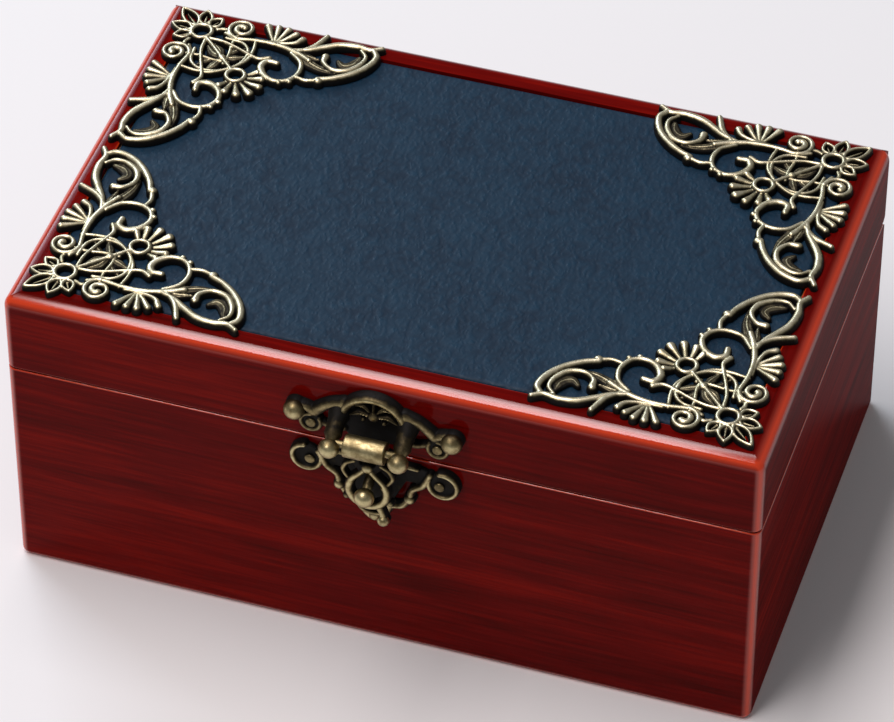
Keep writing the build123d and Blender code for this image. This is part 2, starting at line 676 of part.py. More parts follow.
def make_bedplate(parts):
    """The cast bedplate on four feet, with the raised bed for the comb."""
    x0 = MOVE_X - PLATE_WIDTH / 2
    x1 = MOVE_X + PLATE_WIDTH / 2
    half = PLATE_LENGTH / 2
    low = PLATE_TOP - PLATE
    plate = block(x0, x1, -half, half, low, PLATE_TOP)
    plate = fillet(plate.edges().filter_by(Axis.Z), 3.0)
    for x, y in FOOT_PLACES:
        plate += rod((x, y, FLOOR_TOP), (x, y, low + 0.2), 2.6, 8)
    plate += block(BED_X, x1 - 0.4, CYLINDER_Y - 0.6, CYLINDER_Y + CYLINDER_LENGTH + 0.4, low, CYLINDER_Z - 1.5)
    plate -= rod((SPRING_X, SPRING_Y, 0), (SPRING_X, SPRING_Y, 30), 4.6, ROUND_SIDES)
    plate -= rod((WORM_X, WORM_Y, PLATE_TOP - 1.2), (WORM_X, WORM_Y, 30), WORM_ARBOR_R + RUNNING, ROUND_SIDES)
    for cut in movement_screws(0.02) + comb_screws(0.02):
        plate -= cut
    parts["bedplate"] = plate
    parts["movement_screws"] = Compound(children=movement_screws())


BELL_LEGS = [(SPRING_X + s * 12.2, SPRING_Y - 9.6) for s in (-1, 1)]


def make_spring(parts):
    """The spring housing on its two legs, and the mainspring wound inside it."""
    low = CROWN_Z + 0.9
    bell = rod((SPRING_X, SPRING_Y, low), (SPRING_X, SPRING_Y, BELL_TOP), BELL_R, LARGE_SIDES)
    bell = chamfer(bell.edges().group_by(Axis.Z)[-1], 0.8)
    for x, y in BELL_LEGS:
        arm = Pos((x + SPRING_X) / 2, (y + SPRING_Y) / 2, low + 1.0) * Rot(
            0, 0, degrees(atan2(y - SPRING_Y, x - SPRING_X))
        )
        bell += arm * Box(hypot(x - SPRING_X, y - SPRING_Y), 3.2, 2.0)
    inside = BELL_R - BELL_WALL
    bell -= rod((SPRING_X, SPRING_Y, 0), (SPRING_X, SPRING_Y, BELL_TOP - BELL_WALL), inside, LARGE_SIDES)
    for x, y in BELL_LEGS:
        bell += rod((x, y, PLATE_TOP), (x, y, low + 2.0), 1.7, 8)
    bell -= rod((SPRING_X, SPRING_Y, 0), (SPRING_X, SPRING_Y, 60), KEY_ARBOR_R + RUNNING)
    parts["spring_housing"] = bell
    coil = stroke(bend((0, 0), 0, 720, 3.2, inside - 1.2), 0.5)
    parts["mainspring"] = Pos(SPRING_X, SPRING_Y, low + 0.8) * extrude(coil, 8.0)


def make_key(parts):
    """The winding arbor and the butterfly key on its lower end."""
    parts["winding_arbor"] = rod(
        (SPRING_X, SPRING_Y, 8.0), (SPRING_X, SPRING_Y, BELL_TOP - 0.4), KEY_ARBOR_R
    )
    boss = rod((SPRING_X, SPRING_Y, 6.6), (SPRING_X, SPRING_Y, 11.6), 3.4, ROUND_SIDES)
    wings = RectangleRounded(20.0, 8.4, 3.9)
    wings -= Pos(0, -4.4) * Circle(2.6)
    plane = Plane(origin=(SPRING_X, SPRING_Y - 1.0, 5.8), x_dir=(1, 0, 0), z_dir=(0, 1, 0))
    key = boss + extrude(plane * wings, 2.0)
    key -= rod((SPRING_X, SPRING_Y, 8.0), (SPRING_X, SPRING_Y, 20), KEY_ARBOR_R)
    parts["winding_key"] = key


def make_drive_gear(parts):
    """The crown wheel under the spring housing, its teeth standing up."""
    disc_top = CROWN_Z - 1.0
    outer = CROWN_R + 0.9
    wheel = rod((SPRING_X, SPRING_Y, disc_top - 1.2), (SPRING_X, SPRING_Y, disc_top), outer + 0.15, LARGE_SIDES)
    wheel += rod((SPRING_X, SPRING_Y, PLATE_TOP + 0.3), (SPRING_X, SPRING_Y, disc_top), 4.2, ROUND_SIDES)
    step = 2 * pi / CROWN_TEETH
    teeth = []
    for i in range(CROWN_TEETH):
        middle = pi / 2 + (i + 0.5) * step
        half = LAND * step / 2
        corners = []
        for radius, angle in ((outer, -half), (outer, half), (outer - 1.8, half), (outer - 1.8, -half)):
            corners.append((radius * cos(middle + angle), radius * sin(middle + angle)))
        teeth.append(make_face(Polyline(*corners, close=True)))
    crown = extrude(Pos(SPRING_X, SPRING_Y, disc_top - 0.1) * Sketch(children=teeth), 1.6)
    wheel = fuse([wheel] + list(crown.solids()))
    wheel -= rod((SPRING_X, SPRING_Y, 0), (SPRING_X, SPRING_Y, 60), KEY_ARBOR_R + RUNNING)
    parts["drive_gear"] = wheel


PIN_ROWS = 2


def make_cylinder(parts):
    """The pinned cylinder, its arbor, its pinion at the spring end and its wheel at the other."""
    pitch = CYLINDER_LENGTH / NOTES
    end = CYLINDER_Y + CYLINDER_LENGTH
    drum = rod((CYLINDER_X, CYLINDER_Y, CYLINDER_Z), (CYLINDER_X, end, CYLINDER_Z), CYLINDER_R, 2 * NOTES)
    drum -= rod((CYLINDER_X, CYLINDER_Y - 1, CYLINDER_Z), (CYLINDER_X, end + 1, CYLINDER_Z), ARBOR_R)
    pins = []
    for note in range(NOTES):
        for row in range(PIN_ROWS):
            turn = 360 * (row + ((note * 7) % NOTES) / NOTES) / PIN_ROWS
            place = Pos(CYLINDER_X, CYLINDER_Y + (note + 0.5) * pitch, CYLINDER_Z) * Rot(0, turn, 0)
            pins.append(place * Pos(CYLINDER_R + PIN_PROUD / 2 - 0.15, 0, 0) * Box(PIN_PROUD + 0.3, 0.3, 0.3))
    parts["pinned_cylinder"] = fuse([drum] + pins)
    parts["cylinder_arbor"] = rod(
        (CYLINDER_X, PINION_Y - 1.4, CYLINDER_Z), (CYLINDER_X, FRAME_Y + 1.1, CYLINDER_Z), ARBOR_R
    )
    crown_module = CROWN_PITCH / pi
    pinion = toothed_outline(DRIVE_PINION_TEETH, crown_module, LAND, -pi / 2, 0.8, 1.1)
    parts["cylinder_pinion"] = wheel_y(
        CYLINDER_X, CYLINDER_Z, PINION_Y - 0.9, PINION_Y + 0.9, pinion, ARBOR_R
    )
    gear = toothed_outline(CYLINDER_TEETH, MODULE_CYLINDER, LAND, radians(FIRST_ANGLE))
    parts["cylinder_gear"] = wheel_y(CYLINDER_X, CYLINDER_Z, GEAR_Y, GEAR_Y + 1.2, gear, ARBOR_R)


def make_comb(parts):
    """The steel comb: 18 tuned teeth cut from one plate, with a thick root."""
    pitch = CYLINDER_LENGTH / NOTES
    tip_x = CYLINDER_X + CYLINDER_R + PIN_PROUD + 0.1
    root_x = BED_X
    end_x = MOVE_X + PLATE_WIDTH / 2 - 0.4
    points = [(end_x, CYLINDER_Y - 0.4)]
    for note in range(NOTES):
        y = CYLINDER_Y + note * pitch
        depth = root_x - 0.28 * (NOTES - note) * 0.6
        points += [(depth, y + 0.14), (tip_x, y + 0.14), (tip_x, y + pitch - 0.14), (depth, y + pitch - 0.14)]
    points.append((end_x, CYLINDER_Y + CYLINDER_LENGTH + 0.2))
    teeth = Pos(0, 0, CYLINDER_Z - 0.3) * extrude(make_face(Polyline(*points, close=True)), 0.6)
    root = block(
        root_x, end_x, CYLINDER_Y - 0.4, CYLINDER_Y + CYLINDER_LENGTH + 0.2, CYLINDER_Z - 1.5, CYLINDER_Z + 0.3
    )
    comb = teeth + root
    for cut in comb_screws(0.02):
        comb -= cut
    parts["comb"] = comb
    parts["comb_screws"] = Compound(children=comb_screws())


def make_frames(parts):
    """The inner bearing of the cylinder and the two-plate frame of the governor."""
    bearing = block(CYLINDER_X - 2.2, CYLINDER_X + 2.2, CYLINDER_Y - 1.8, CYLINDER_Y - 0.4, PLATE_TOP, CYLINDER_Z)
    bearing += rod(
        (CYLINDER_X, CYLINDER_Y - 1.8, CYLINDER_Z), (CYLINDER_X, CYLINDER_Y - 0.4, CYLINDER_Z), 2.2, ROUND_SIDES
    )
    bearing -= rod((CYLINDER_X, -10, CYLINDER_Z), (CYLINDER_X, 10, CYLINDER_Z), ARBOR_R + RUNNING, ROUND_SIDES)
    parts["cylinder_bearing"] = bearing
    left = FIRST_X - 3.6
    right = CYLINDER_X + 3.0
    outline = (
        (left, PLATE_TOP), (right, PLATE_TOP), (right, CYLINDER_Z + 2.6), (SECOND_X + 2.8, SECOND_Z + 2.6),
        (SECOND_X - 2.8, SECOND_Z + 2.6), (left, FIRST_Z + 3.4),
    )
    frame = Pos(0, FRAME_Y + 0.8, 0) * prism(outline, Plane.XZ, 0.8)
    frame += Pos(0, BACK_Y + 1.0, 0) * prism(outline, Plane.XZ, 1.0)
    frame += block(CYLINDER_X - 2.6, CYLINDER_X - 0.9, FRAME_Y, BACK_Y + 1.0, PLATE_TOP, PLATE_TOP + 1.4)
    arm_low = SECOND_Z + 3.2
    frame += block(WORM_X - 1.8, WORM_X + 1.8, BACK_Y, BACK_Y + 1.0, CYLINDER_Z, arm_low + 0.8)
    frame += block(WORM_X - 1.8, WORM_X + 1.8, WORM_Y - 1.4, BACK_Y + 1.0, arm_low, arm_low + 0.8)
    frame -= rod((CYLINDER_X, 0, CYLINDER_Z), (CYLINDER_X, 25, CYLINDER_Z), ARBOR_R + RUNNING, ROUND_SIDES)
    for x, z in ((FIRST_X, FIRST_Z), (SECOND_X, SECOND_Z)):
        frame -= rod((x, 0, z), (x, 50, z), ARBOR_R * 0.7 + RUNNING, ROUND_SIDES)
    frame -= rod((WORM_X, WORM_Y, 22), (WORM_X, WORM_Y, 60), WORM_ARBOR_R + RUNNING, ROUND_SIDES)
    parts["governor_frame"] = frame


THREAD_STEPS = 10


def screw_thread(turns, pitch, root_r, tip_r):
    """A screw thread of flat facets: its four-cornered section turns as it climbs."""
    section = ((root_r, -0.26), (tip_r, -0.1), (tip_r, 0.1), (root_r, 0.26))
    rings = []
    for i in range(turns * THREAD_STEPS + 1):
        angle = 2 * pi * i / THREAD_STEPS
        climb = pitch * i / THREAD_STEPS
        rings.append([Vector(r * cos(angle), r * sin(angle), z + climb) for r, z in section])
    faces = [Face(Wire.make_polygon(rings[0])), Face(Wire.make_polygon(rings[-1]))]
    for near, far in zip(rings, rings[1:]):
        for k in range(4):
            j = (k + 1) % 4
            faces.append(Face(Wire.make_polygon((near[k], near[j], far[j]))))
            faces.append(Face(Wire.make_polygon((near[k], far[j], far[k]))))
    return Solid(Shell(faces))


def make_train(parts):
    """First wheel and pinion, worm wheel and pinion, and the worm with its fan."""
    arbor = ARBOR_R * 0.7
    pinion = toothed_outline(
        FIRST_PINION_TEETH, MODULE_CYLINDER, LAND, radians(FIRST_ANGLE) + pi + pi / FIRST_PINION_TEETH, 0.9
    )
    wheel = toothed_outline(FIRST_WHEEL_TEETH, MODULE_TRAIN, LAND, radians(SECOND_ANGLE))
    first = wheel_y(FIRST_X, FIRST_Z, GEAR_Y - 0.1, GEAR_Y + 1.3, pinion, arbor * 0.5)
    first += wheel_y(FIRST_X, FIRST_Z, TRAIN_Y, TRAIN_Y + 1.2, wheel, arbor * 0.5)
    first += rod((FIRST_X, GEAR_Y - 0.1, FIRST_Z), (FIRST_X, BACK_Y + 1.2, FIRST_Z), arbor)
    parts["governor_first_wheel"] = first
    pinion = toothed_outline(
        SECOND_PINION_TEETH, MODULE_TRAIN, LAND, radians(SECOND_ANGLE) + pi + pi / SECOND_PINION_TEETH, 0.9
    )
    wheel = toothed_outline(WORM_WHEEL_TEETH, MODULE_TRAIN, LAND, 0.0, 0.8, 1.3)
    second = wheel_y(SECOND_X, SECOND_Z, TRAIN_Y - 0.1, TRAIN_Y + 1.3, pinion, arbor * 0.5)
    second += wheel_y(SECOND_X, SECOND_Z, WORM_WHEEL_Y, WORM_WHEEL_Y + 0.9, wheel, arbor * 0.5)
    second += rod((SECOND_X, FRAME_Y - 0.2, SECOND_Z), (SECOND_X, BACK_Y + 1.2, SECOND_Z), arbor)
    parts["governor_worm_wheel"] = second
    turns = 2
    worm = screw_thread(turns, WORM_PITCH, WORM_CORE_R - 0.1, WORM_R + 0.33)
    worm = Pos(WORM_X, WORM_Y, SECOND_Z - turns / 2 * WORM_PITCH) * worm
    low = SECOND_Z - 0.6 * turns * WORM_PITCH
    worm += rod((WORM_X, WORM_Y, low), (WORM_X, WORM_Y, low + 1.2 * turns * WORM_PITCH), WORM_CORE_R, THREAD_STEPS)
    worm += rod((WORM_X, WORM_Y, PLATE_TOP - 1.0), (WORM_X, WORM_Y, FAN_Z + FAN_HEIGHT), WORM_ARBOR_R)
    parts["governor_worm"] = worm
    fan = rod((WORM_X, WORM_Y, FAN_Z), (WORM_X, WORM_Y, FAN_Z + FAN_HEIGHT), 1.3, ROUND_SIDES)
    fan += block(WORM_X - FAN_R, WORM_X + FAN_R, WORM_Y - 0.25, WORM_Y + 0.25, FAN_Z, FAN_Z + FAN_HEIGHT)
    fan -= rod((WORM_X, WORM_Y, 30), (WORM_X, WORM_Y, 50), WORM_ARBOR_R)
    parts["governor_fan"] = fan


STOP_X = -64.0
STOP_Y = 33.5
STOP_R = 1.0
STOP_TOP = PANEL_LOW - LINING - 0.3


def make_stop(parts):
    """The rod that the closed lid holds down beside the fan, and its guide."""
    guide = block(STOP_X - 3, STOP_X + 3, STOP_Y - 2.5, STOP_Y + 2.5, FLOOR_TOP, 36.0)
    guide -= rod((STOP_X, STOP_Y, FLOOR_TOP + 4), (STOP_X, STOP_Y, 60), STOP_R + RUNNING)
    parts["stop_rod_guide"] = guide
    stop = rod((STOP_X, STOP_Y, 24.0), (STOP_X, STOP_Y, STOP_TOP), STOP_R, ROUND_SIDES)
    stop = chamfer(stop.edges().group_by(Axis.Z)[-1], 0.5)
    away = hypot(STOP_X - WORM_X, STOP_Y - WORM_Y)
    share = (FAN_R + 0.7) / away
    arm_end = (WORM_X + share * (STOP_X - WORM_X), WORM_Y + share * (STOP_Y - WORM_Y), FAN_Z + 0.8)
    stop += rod((STOP_X, STOP_Y, FAN_Z + 0.8), arm_end, 0.5, 8)
    parts["stop_rod"] = stop


def main():
    """Build every piece and write each to its own file."""
    parts = {}
    make_case(parts)
    make_underside(parts)
    make_inner_floor(parts)
    make_tray(parts)
    make_cover(parts)
    make_lid(parts)
    make_ornaments(parts)
    make_hinges(parts)
    make_hasp(parts)
    make_bedplate(parts)
    make_spring(parts)
    make_key(parts)
    make_drive_gear(parts)
    make_cylinder(parts)
    make_comb(parts)
    make_frames(parts)
    make_train(parts)
    make_stop(parts)
    os.makedirs("parts", exist_ok=True)
    for name, shape in parts.items():
        export_step(shape, f"parts/{name}.step")
        print(f"{name}: {len(shape.solids())} solid(s), {shape.volume:.1f} mm3")


if __name__ == "__main__":
    main()
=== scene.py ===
"""The looks of a lidded wooden music box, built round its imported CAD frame.

The box is a lacquered mahogany case with a leather-faced lid, four cast corner ornaments and a
drop hasp. Inside are a velvet tray, a mirror and a pinned-cylinder movement under a clear cover.
Shapes are worked out in millimetres in the frame's own axes (+X right, +Y back, +Z up) and turned
to metres where a mesh is made.
"""
import logging
from dataclasses import dataclass, replace
from enum import Enum

import bmesh
import bpy
import numpy as np
from mathutils import Matrix, Vector


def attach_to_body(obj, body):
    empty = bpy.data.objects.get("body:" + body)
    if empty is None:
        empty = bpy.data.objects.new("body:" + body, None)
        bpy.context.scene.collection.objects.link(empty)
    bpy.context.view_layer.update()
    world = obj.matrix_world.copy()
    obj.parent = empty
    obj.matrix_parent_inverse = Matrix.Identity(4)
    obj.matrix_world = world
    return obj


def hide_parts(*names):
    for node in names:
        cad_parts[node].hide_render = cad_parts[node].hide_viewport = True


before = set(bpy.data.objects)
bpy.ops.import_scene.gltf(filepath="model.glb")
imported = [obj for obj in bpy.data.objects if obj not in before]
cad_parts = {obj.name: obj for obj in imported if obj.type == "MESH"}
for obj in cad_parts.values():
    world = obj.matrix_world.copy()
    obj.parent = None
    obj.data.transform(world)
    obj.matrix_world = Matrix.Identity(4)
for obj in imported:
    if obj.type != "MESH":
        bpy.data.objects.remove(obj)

LOG = logging.getLogger("music_box")
MM = 0.001
HANDS = (-1, 1)
Array = np.ndarray
Piece = bpy.types.Object
Shape = tuple[Array, Array]
Pair = tuple[float, float]
Triple = tuple[float, float, float]
Node = bpy.types.Node
Source = tuple[Node, str | int]
Sockets = tuple[dict[str, Source], dict[str, object]]


class Axis(Enum):
    """A direction in the frame."""

    X = 0
    Y = 1
    Z = 2


class Side(Enum):
    """The four sides of the box, in order from the front, anticlockwise seen from above."""

    FRONT = 0
    RIGHT = 1
    BACK = 2
    LEFT = 3


# The finishes.


def linear(code: str) -> tuple[float, float, float, float]:
    """Turn an sRGB hex colour into linear values.

    Args:
        code: six hex digits.

    Returns:
        Red, green, blue and an alpha of 1.
    """
    srgb = np.array([int(code[i : i + 2], 16) for i in (0, 2, 4)]) / 255
    value = np.where(srgb <= 0.04045, srgb / 12.92, ((srgb + 0.055) / 1.055) ** 2.4)
    return (*value.tolist(), 1.0)


def per_mm(size: float) -> float:
    """The texture scale at which one repeat is a size in millimetres."""
    return 1.0 / (size * MM)


@dataclass
class Painter:
    """Adds shader nodes to one tree. A source is a node and the name or number of its output."""

    tree: bpy.types.NodeTree

    def add(self, kind: str, links: dict | None = None, values: dict | None = None, **settings) -> Node:
        """Add a node with its settings, values and links.

        Args:
            kind: the node's type, without its "ShaderNode" prefix.
            links: input socket to its source.
            values: input socket to its value.
            settings: the node's own properties.

        Returns:
            The new node.
        """
        node = self.tree.nodes.new("ShaderNode" + kind)
        for key, value in settings.items():
            setattr(node, key, value)
        for key, value in (values or {}).items():
            node.inputs[key].default_value = value
        for key, (source, output) in (links or {}).items():
            self.tree.links.new(source.outputs[output], node.inputs[key])
        return node

    def place(self, stretch: Triple = (1.0, 1.0, 1.0)) -> Source:
        """The object's own coordinates, stretched along its axes."""
        spot = self.add("TexCoord")
        return self.add("Mapping", {"Vector": (spot, "Object")}, {"Scale": stretch}), "Vector"

    def drawn(self, axis: Axis, share: float) -> Source:
        """Coordinates in which a pattern is drawn out along an axis.

        Args:
            axis: the axis.
            share: the pattern's scale along it.

        Returns:
            The coordinates.
        """
        stretch = [1.0, 1.0, 1.0]
        stretch[axis.value] = share
        return self.place(tuple(stretch))

    def noise(self, spot: Source, size: float, detail: float, rough: float, bent: float = 0.0) -> Source:
        """A noise pattern.

        Args:
            spot: the coordinates.
            size: one repeat in millimetres.
            detail: how many finer layers it has.
            rough: how strong the finer layers are.
            bent: how far it is distorted.

        Returns:
            Its value.
        """
        values = {"Scale": per_mm(size), "Detail": detail, "Roughness": rough, "Distortion": bent}
        return self.add("TexNoise", {"Vector": spot}, values), "Fac"

    def math(self, operation: str, *inputs: Source) -> Source:
        """A sum or other operation on one or two values."""
        return self.add("Math", dict(enumerate(inputs)), operation=operation), 0

    def ramp(self, source: Source, *stops: tuple[float, str]) -> Source:
        """Colours along a value.

        Args:
            source: the value.
            stops: places and hex colours.

        Returns:
            The colour.
        """
        node = self.add("ValToRGB", {"Fac": source})
        elements = node.color_ramp.elements
        while len(elements) < len(stops):
            elements.new(0.5)
        for element, (at, code) in zip(elements, stops):
            element.position = at
            element.color = linear(code)
        return node, "Color"

    def tint(self, factor: Source, colour: Source, code: str) -> Source:
        """Mix a colour with a fixed one by a factor."""
        values = {7: linear(code)}
        return self.add("Mix", {0: factor, 6: colour}, values, data_type="RGBA", blend_type="MIX"), 2

    def spread(self, source: Source, low: float, high: float, out_low: float, out_high: float) -> Source:
        """Turn one range of a value into another, clamped."""
        values = {"From Min": low, "From Max": high, "To Min": out_low, "To Max": out_high}
        return self.add("MapRange", {"Value": source}, values), "Result"

    def bump(self, source: Source, strength: float, depth: float, invert: bool = False) -> Source:
        """A normal tilted by a value, whose range stands for a depth in millimetres."""
        values = {"Strength": strength, "Distance": depth * MM}
        return self.add("Bump", {"Height": source}, values, invert=invert), "Normal"


@dataclass(frozen=True)
class Finish:
    """A material: how one kind of surface is made and what the eye gets from it."""

    name: str

    def build(self) -> bpy.types.Material:
        """Make the material, or return it if it has been made.

        Returns:
            The Blender material.
        """
        known = bpy.data.materials.get(self.name)
        if known:
            return known
        material = bpy.data.materials.new(self.name)
        material.use_nodes = True
        material.node_tree.nodes.clear()
        paint = Painter(material.node_tree)
        links, values = self.dress(paint)
        shader = paint.add("BsdfPrincipled", links, values)
        paint.add("OutputMaterial", {"Surface": (shader, "BSDF")})
        return material

    def dress(self, paint: Painter) -> Sockets:
        """Add the material's patterns.

        Args:
            paint: adds to the material's tree.

        Returns:
            The Principled shader's sources and its plain values, by socket.
        """
        raise NotImplementedError


@dataclass(frozen=True)
class LacqueredMahogany(Finish):
    """Mahogany boards, stained cherry red and sprayed with a clear gloss lacquer.

    The eye gets a deep red that darkens in fine streaks along the grain, an orange-red line on every
    rounded edge, part thin stain and part painted highlight, and a sharp clear reflection over it.
    """

    grain: Axis = Axis.X
    # How strongly rounded edges take the orange-red tint: part thin stain, part painted highlight.
    rubbed: float = 0.9
    stain: tuple[str, str, str] = ("440402", "5e0604", "780d05")
    thin_stain_and_highlight: str = "d23c12"
    coat_on_flats: float = 0.11

    def dress(self, paint: Painter) -> Sockets:
        """Fine streaks along the grain, slow figure, and on rounded edges thick lacquer and a tint that is
        part thin stain, part painted highlight.

        The largest part of the object's normal is 1 on a flat and less on a rounded edge.

        Args:
            paint: adds to the material's tree.

        Returns:
            The shader's sources and values.
        """
        spot = paint.drawn(self.grain, 0.045)
        streak = paint.noise(spot, 0.9, 4.0, 0.55)
        figure = paint.noise(spot, 7.0, 2.0, 0.5, 0.5)
        level = paint.spread(paint.math("ADD", streak, figure), 0.66, 1.34, 0.0, 1.0)
        wood = paint.ramp(level, *zip((0.0, 0.5, 1.0), self.stain))
        parts = paint.add("SeparateXYZ", {"Vector": (paint.add("TexCoord"), "Normal")})
        x, y, z = (paint.math("ABSOLUTE", (parts, axis)) for axis in "XYZ")
        widest = paint.math("MAXIMUM", paint.math("MAXIMUM", x, y), z)
        # The orange-red tint on rounded edges is partly stain sanded thin and partly a painted highlight.
        edge = paint.spread(widest, 0.995, 0.78, 0.0, self.rubbed)
        links = {
            "Base Color": paint.tint(edge, wood, self.thin_stain_and_highlight),
            "Coat Weight": paint.spread(widest, 0.995, 0.93, self.coat_on_flats, 1.0),
            "Normal": paint.bump(streak, 0.03, 0.2),
        }
        values = {"Roughness": 0.45, "IOR": 1.5, "Specular IOR Level": 0.0}
        return links, values | {"Coat Roughness": 0.09, "Coat IOR": 1.55}


@dataclass(frozen=True)
class PlanedSoftwood(Finish):
    """Unfinished planed boards and plywood: pale, matt, with soft brown growth lines."""

    grain: Axis = Axis.X
    dark: str = "8a6238"
    light: str = "c79a66"

    def dress(self, paint: Painter) -> Sockets:
        """Growth lines drawn out along the grain.

        Args:
            paint: adds to the material's tree.

        Returns:
            The shader's sources and values.
        """
        lines = paint.noise(paint.drawn(self.grain, 0.05), 2.4, 6.0, 0.62, 0.4)
        links = {
            "Base Color": paint.ramp(lines, (0.3, self.dark), (0.62, self.light)),
            "Normal": paint.bump(lines, 0.15, 0.3),
        }
        return links, {"Roughness": 0.7}


@dataclass(frozen=True)
class PebbledLeather(Finish):
    """Dyed and embossed leather: small pebbles parted by creases, with a dull waxy sheen."""

    pebbles: Pair = (0.8, 1.9)
    light: str = "113145"
    dark: str = "082032"

    def dress(self, paint: Painter) -> Sockets:
        """Pebbles of about a millimetre, crossed by longer wandering creases, with painted shade in the
        creases.

        Args:
            paint: adds to the material's tree.

        Returns:
            The shader's sources and values.
        """
        spot = paint.place()
        drift = paint.noise(spot, 3.5, 3.0, 0.6)[0]
        push = paint.add("VectorMath", {0: (drift, "Color")}, {3: 2.2 * MM}, operation="SCALE")
        bent = paint.add("VectorMath", {0: spot, 1: (push, 0)}, operation="ADD")
        turn = {"Scale": (1.0, 0.62, 1.0), "Rotation": (0.0, 0.0, 0.9)}
        slant = paint.add("Mapping", {"Vector": (bent, 0)}, turn)
        cells = []
        for size in self.pebbles:
            scale = {"Scale": per_mm(size)}
            cell = paint.add("TexVoronoi", {"Vector": (slant, 0)}, scale, feature="SMOOTH_F1")
            cells.append((cell, "Distance"))
        relief = paint.math("ADD", *cells)
        # Colour is darker in the creases between pebbles, a painted shade, and varies slowly across the hide.
        crease_shade_and_mottle = paint.math("MULTIPLY", relief, paint.noise(spot, 11.0, 4.0, 0.6))
        links = {
            "Base Color": paint.ramp(crease_shade_and_mottle, (0.05, self.light), (0.70, self.dark)),
            "Roughness": paint.spread(relief, 0.3, 1.1, 0.42, 0.60),
            "Normal": paint.bump(relief, 0.6, 0.2, invert=True),
        }
        return links, {"IOR": 1.5, "Specular IOR Level": 0.2}


@dataclass(frozen=True)
class AntiqueBrass(Finish):
    """Cast brass, blackened and rubbed back: pale gold on the ridges, black in the hollows."""

    low: str = "1e1a14"
    middle: str = "5b5441"
    high: str = "b5ab88"
    ridge: str = "e2d8b8"

    def dress(self, paint: Painter) -> Sockets:
        """The rubbing follows the casting's own relief, broken up by blotches of patina.

        Args:
            paint: adds to the material's tree.

        Returns:
            The shader's sources and values.
        """
        spot = paint.place()
        swing = paint.spread(paint.noise(spot, 1.8, 5.0, 0.65), 0.3, 0.7, -0.2, 0.14)
        height = (paint.add("Attribute", attribute_name="relief"), "Fac")
        level = paint.math("ADD", height, swing)
        tones = (0.26, self.low), (0.50, self.middle), (0.76, self.high), (1.0, self.ridge)
        links = {
            "Base Color": paint.ramp(level, (0.0, "0a0908"), *tones),
            "Roughness": paint.spread(level, 0.1, 0.9, 0.65, 0.36),
            "Metallic": paint.spread(level, 0.0, 0.4, 0.55, 1.0),
            "Normal": paint.bump(paint.noise(spot, 0.28, 3.0, 0.6), 0.22, 0.08),
        }
        return links, {}


@dataclass(frozen=True)
class WorkedMetal(Finish):
    """A metal part as it leaves the machine: one tone, fine tool marks along one axis, dull spots."""

    colour: str = "c9a15a"
    tarnish: str = "8d6a34"
    roughness: float = 0.28
    marks: Axis = Axis.X

    def dress(self, paint: Painter) -> Sockets:
        """Tool marks 0.25 mm apart, drawn out along one axis, over slow tarnish.

        Args:
            paint: adds to the material's tree.

        Returns:
            The shader's sources and values.
        """
        lines = paint.noise(paint.drawn(self.marks, 0.04), 0.25, 2.0, 0.5)
        dull = paint.noise(paint.place(), 5.0, 5.0, 0.65)
        links = {
            "Base Color": paint.ramp(dull, (0.34, self.tarnish), (0.56, self.colour)),
            "Roughness": paint.spread(dull, 0.3, 0.7, self.roughness + 0.14, self.roughness - 0.04),
            "Normal": paint.bump(lines, 0.10, 0.05),
        }
        return links, {"Metallic": 1.0}


@dataclass(frozen=True)
class CottonVelvet(Finish):
    """Cut-pile velvet: dark where one looks into the pile, a soft bright rim where it turns away."""

    dark: str = "4c0815"
    light: str = "6d1021"
    tips: str = "d8707c"

    def dress(self, paint: Painter) -> Sockets:
        """Pile of 0.4 mm tufts with slow nap marks; the sheen is the pile's tips catching light.

        Args:
            paint: adds to the material's tree.

        Returns:
            The shader's sources and values.
        """
        spot = paint.place()
        nap = paint.noise(spot, 16.0, 2.0, 0.5)
        links = {
            "Base Color": paint.ramp(nap, (0.35, self.dark), (0.70, self.light)),
            "Normal": paint.bump(paint.noise(spot, 0.45, 2.0, 0.7), 0.5, 0.3),
        }
        values = {"Roughness": 0.9, "Sheen Weight": 0.8, "Sheen Roughness": 0.35}
        return links, values | {"Sheen Tint": linear(self.tips)}


@dataclass(frozen=True)
class WoolFelt(Finish):
    """Pressed wool felt: matt, with short fibres lying every way."""

    colour: str = "1f3d2a"
    tuft: str = "33573f"

    def dress(self, paint: Painter) -> Sockets:
        """Fibres of about half a millimetre.

        Args:
            paint: adds to the material's tree.

        Returns:
            The shader's sources and values.
        """
        fibre = paint.noise(paint.place(), 0.7, 6.0, 0.75, 1.5)
        links = {
            "Base Color": paint.ramp(fibre, (0.35, self.colour), (0.65, self.tuft)),
            "Normal": paint.bump(fibre, 0.6, 0.3),
        }
        return links, {"Roughness": 0.95, "Sheen Weight": 0.3}


@dataclass(frozen=True)
class SilveredGlass(Finish):
    """A small glass mirror, silvered at the back: clean and nearly perfect, a little grey."""

    def dress(self, paint: Painter) -> Sockets:
        """A faint haze of dust breaks the reflection.

        Args:
            paint: adds to the material's tree.

        Returns:
            The shader's sources and values.
        """
        haze = paint.noise(paint.place(), 18.0, 5.0, 0.6)
        links = {
            "Base Color": paint.ramp(haze, (0.3, "dde2e4"), (0.7, "d3d9dc")),
            "Roughness": paint.spread(haze, 0.45, 0.75, 0.015, 0.06),
        }
        return links, {"Metallic": 1.0}


@dataclass(frozen=True)
class ClearAcrylic(Finish):
    """Cast acrylic sheet with sawn and flamed edges: clear, with fine handling scratches."""

    def dress(self, paint: Painter) -> Sockets:
        """Scratches show as a slightly rougher surface.

        Args:
            paint: adds to the material's tree.

        Returns:
            The shader's sources and values.
        """
        lines = paint.noise(paint.drawn(Axis.Y, 0.06), 0.5, 2.0, 0.6)
        links = {"Roughness": paint.spread(lines, 0.62, 0.75, 0.02, 0.12)}
        return links, {"Base Color": linear("f4f8f8"), "IOR": 1.49, "Transmission Weight": 1.0}


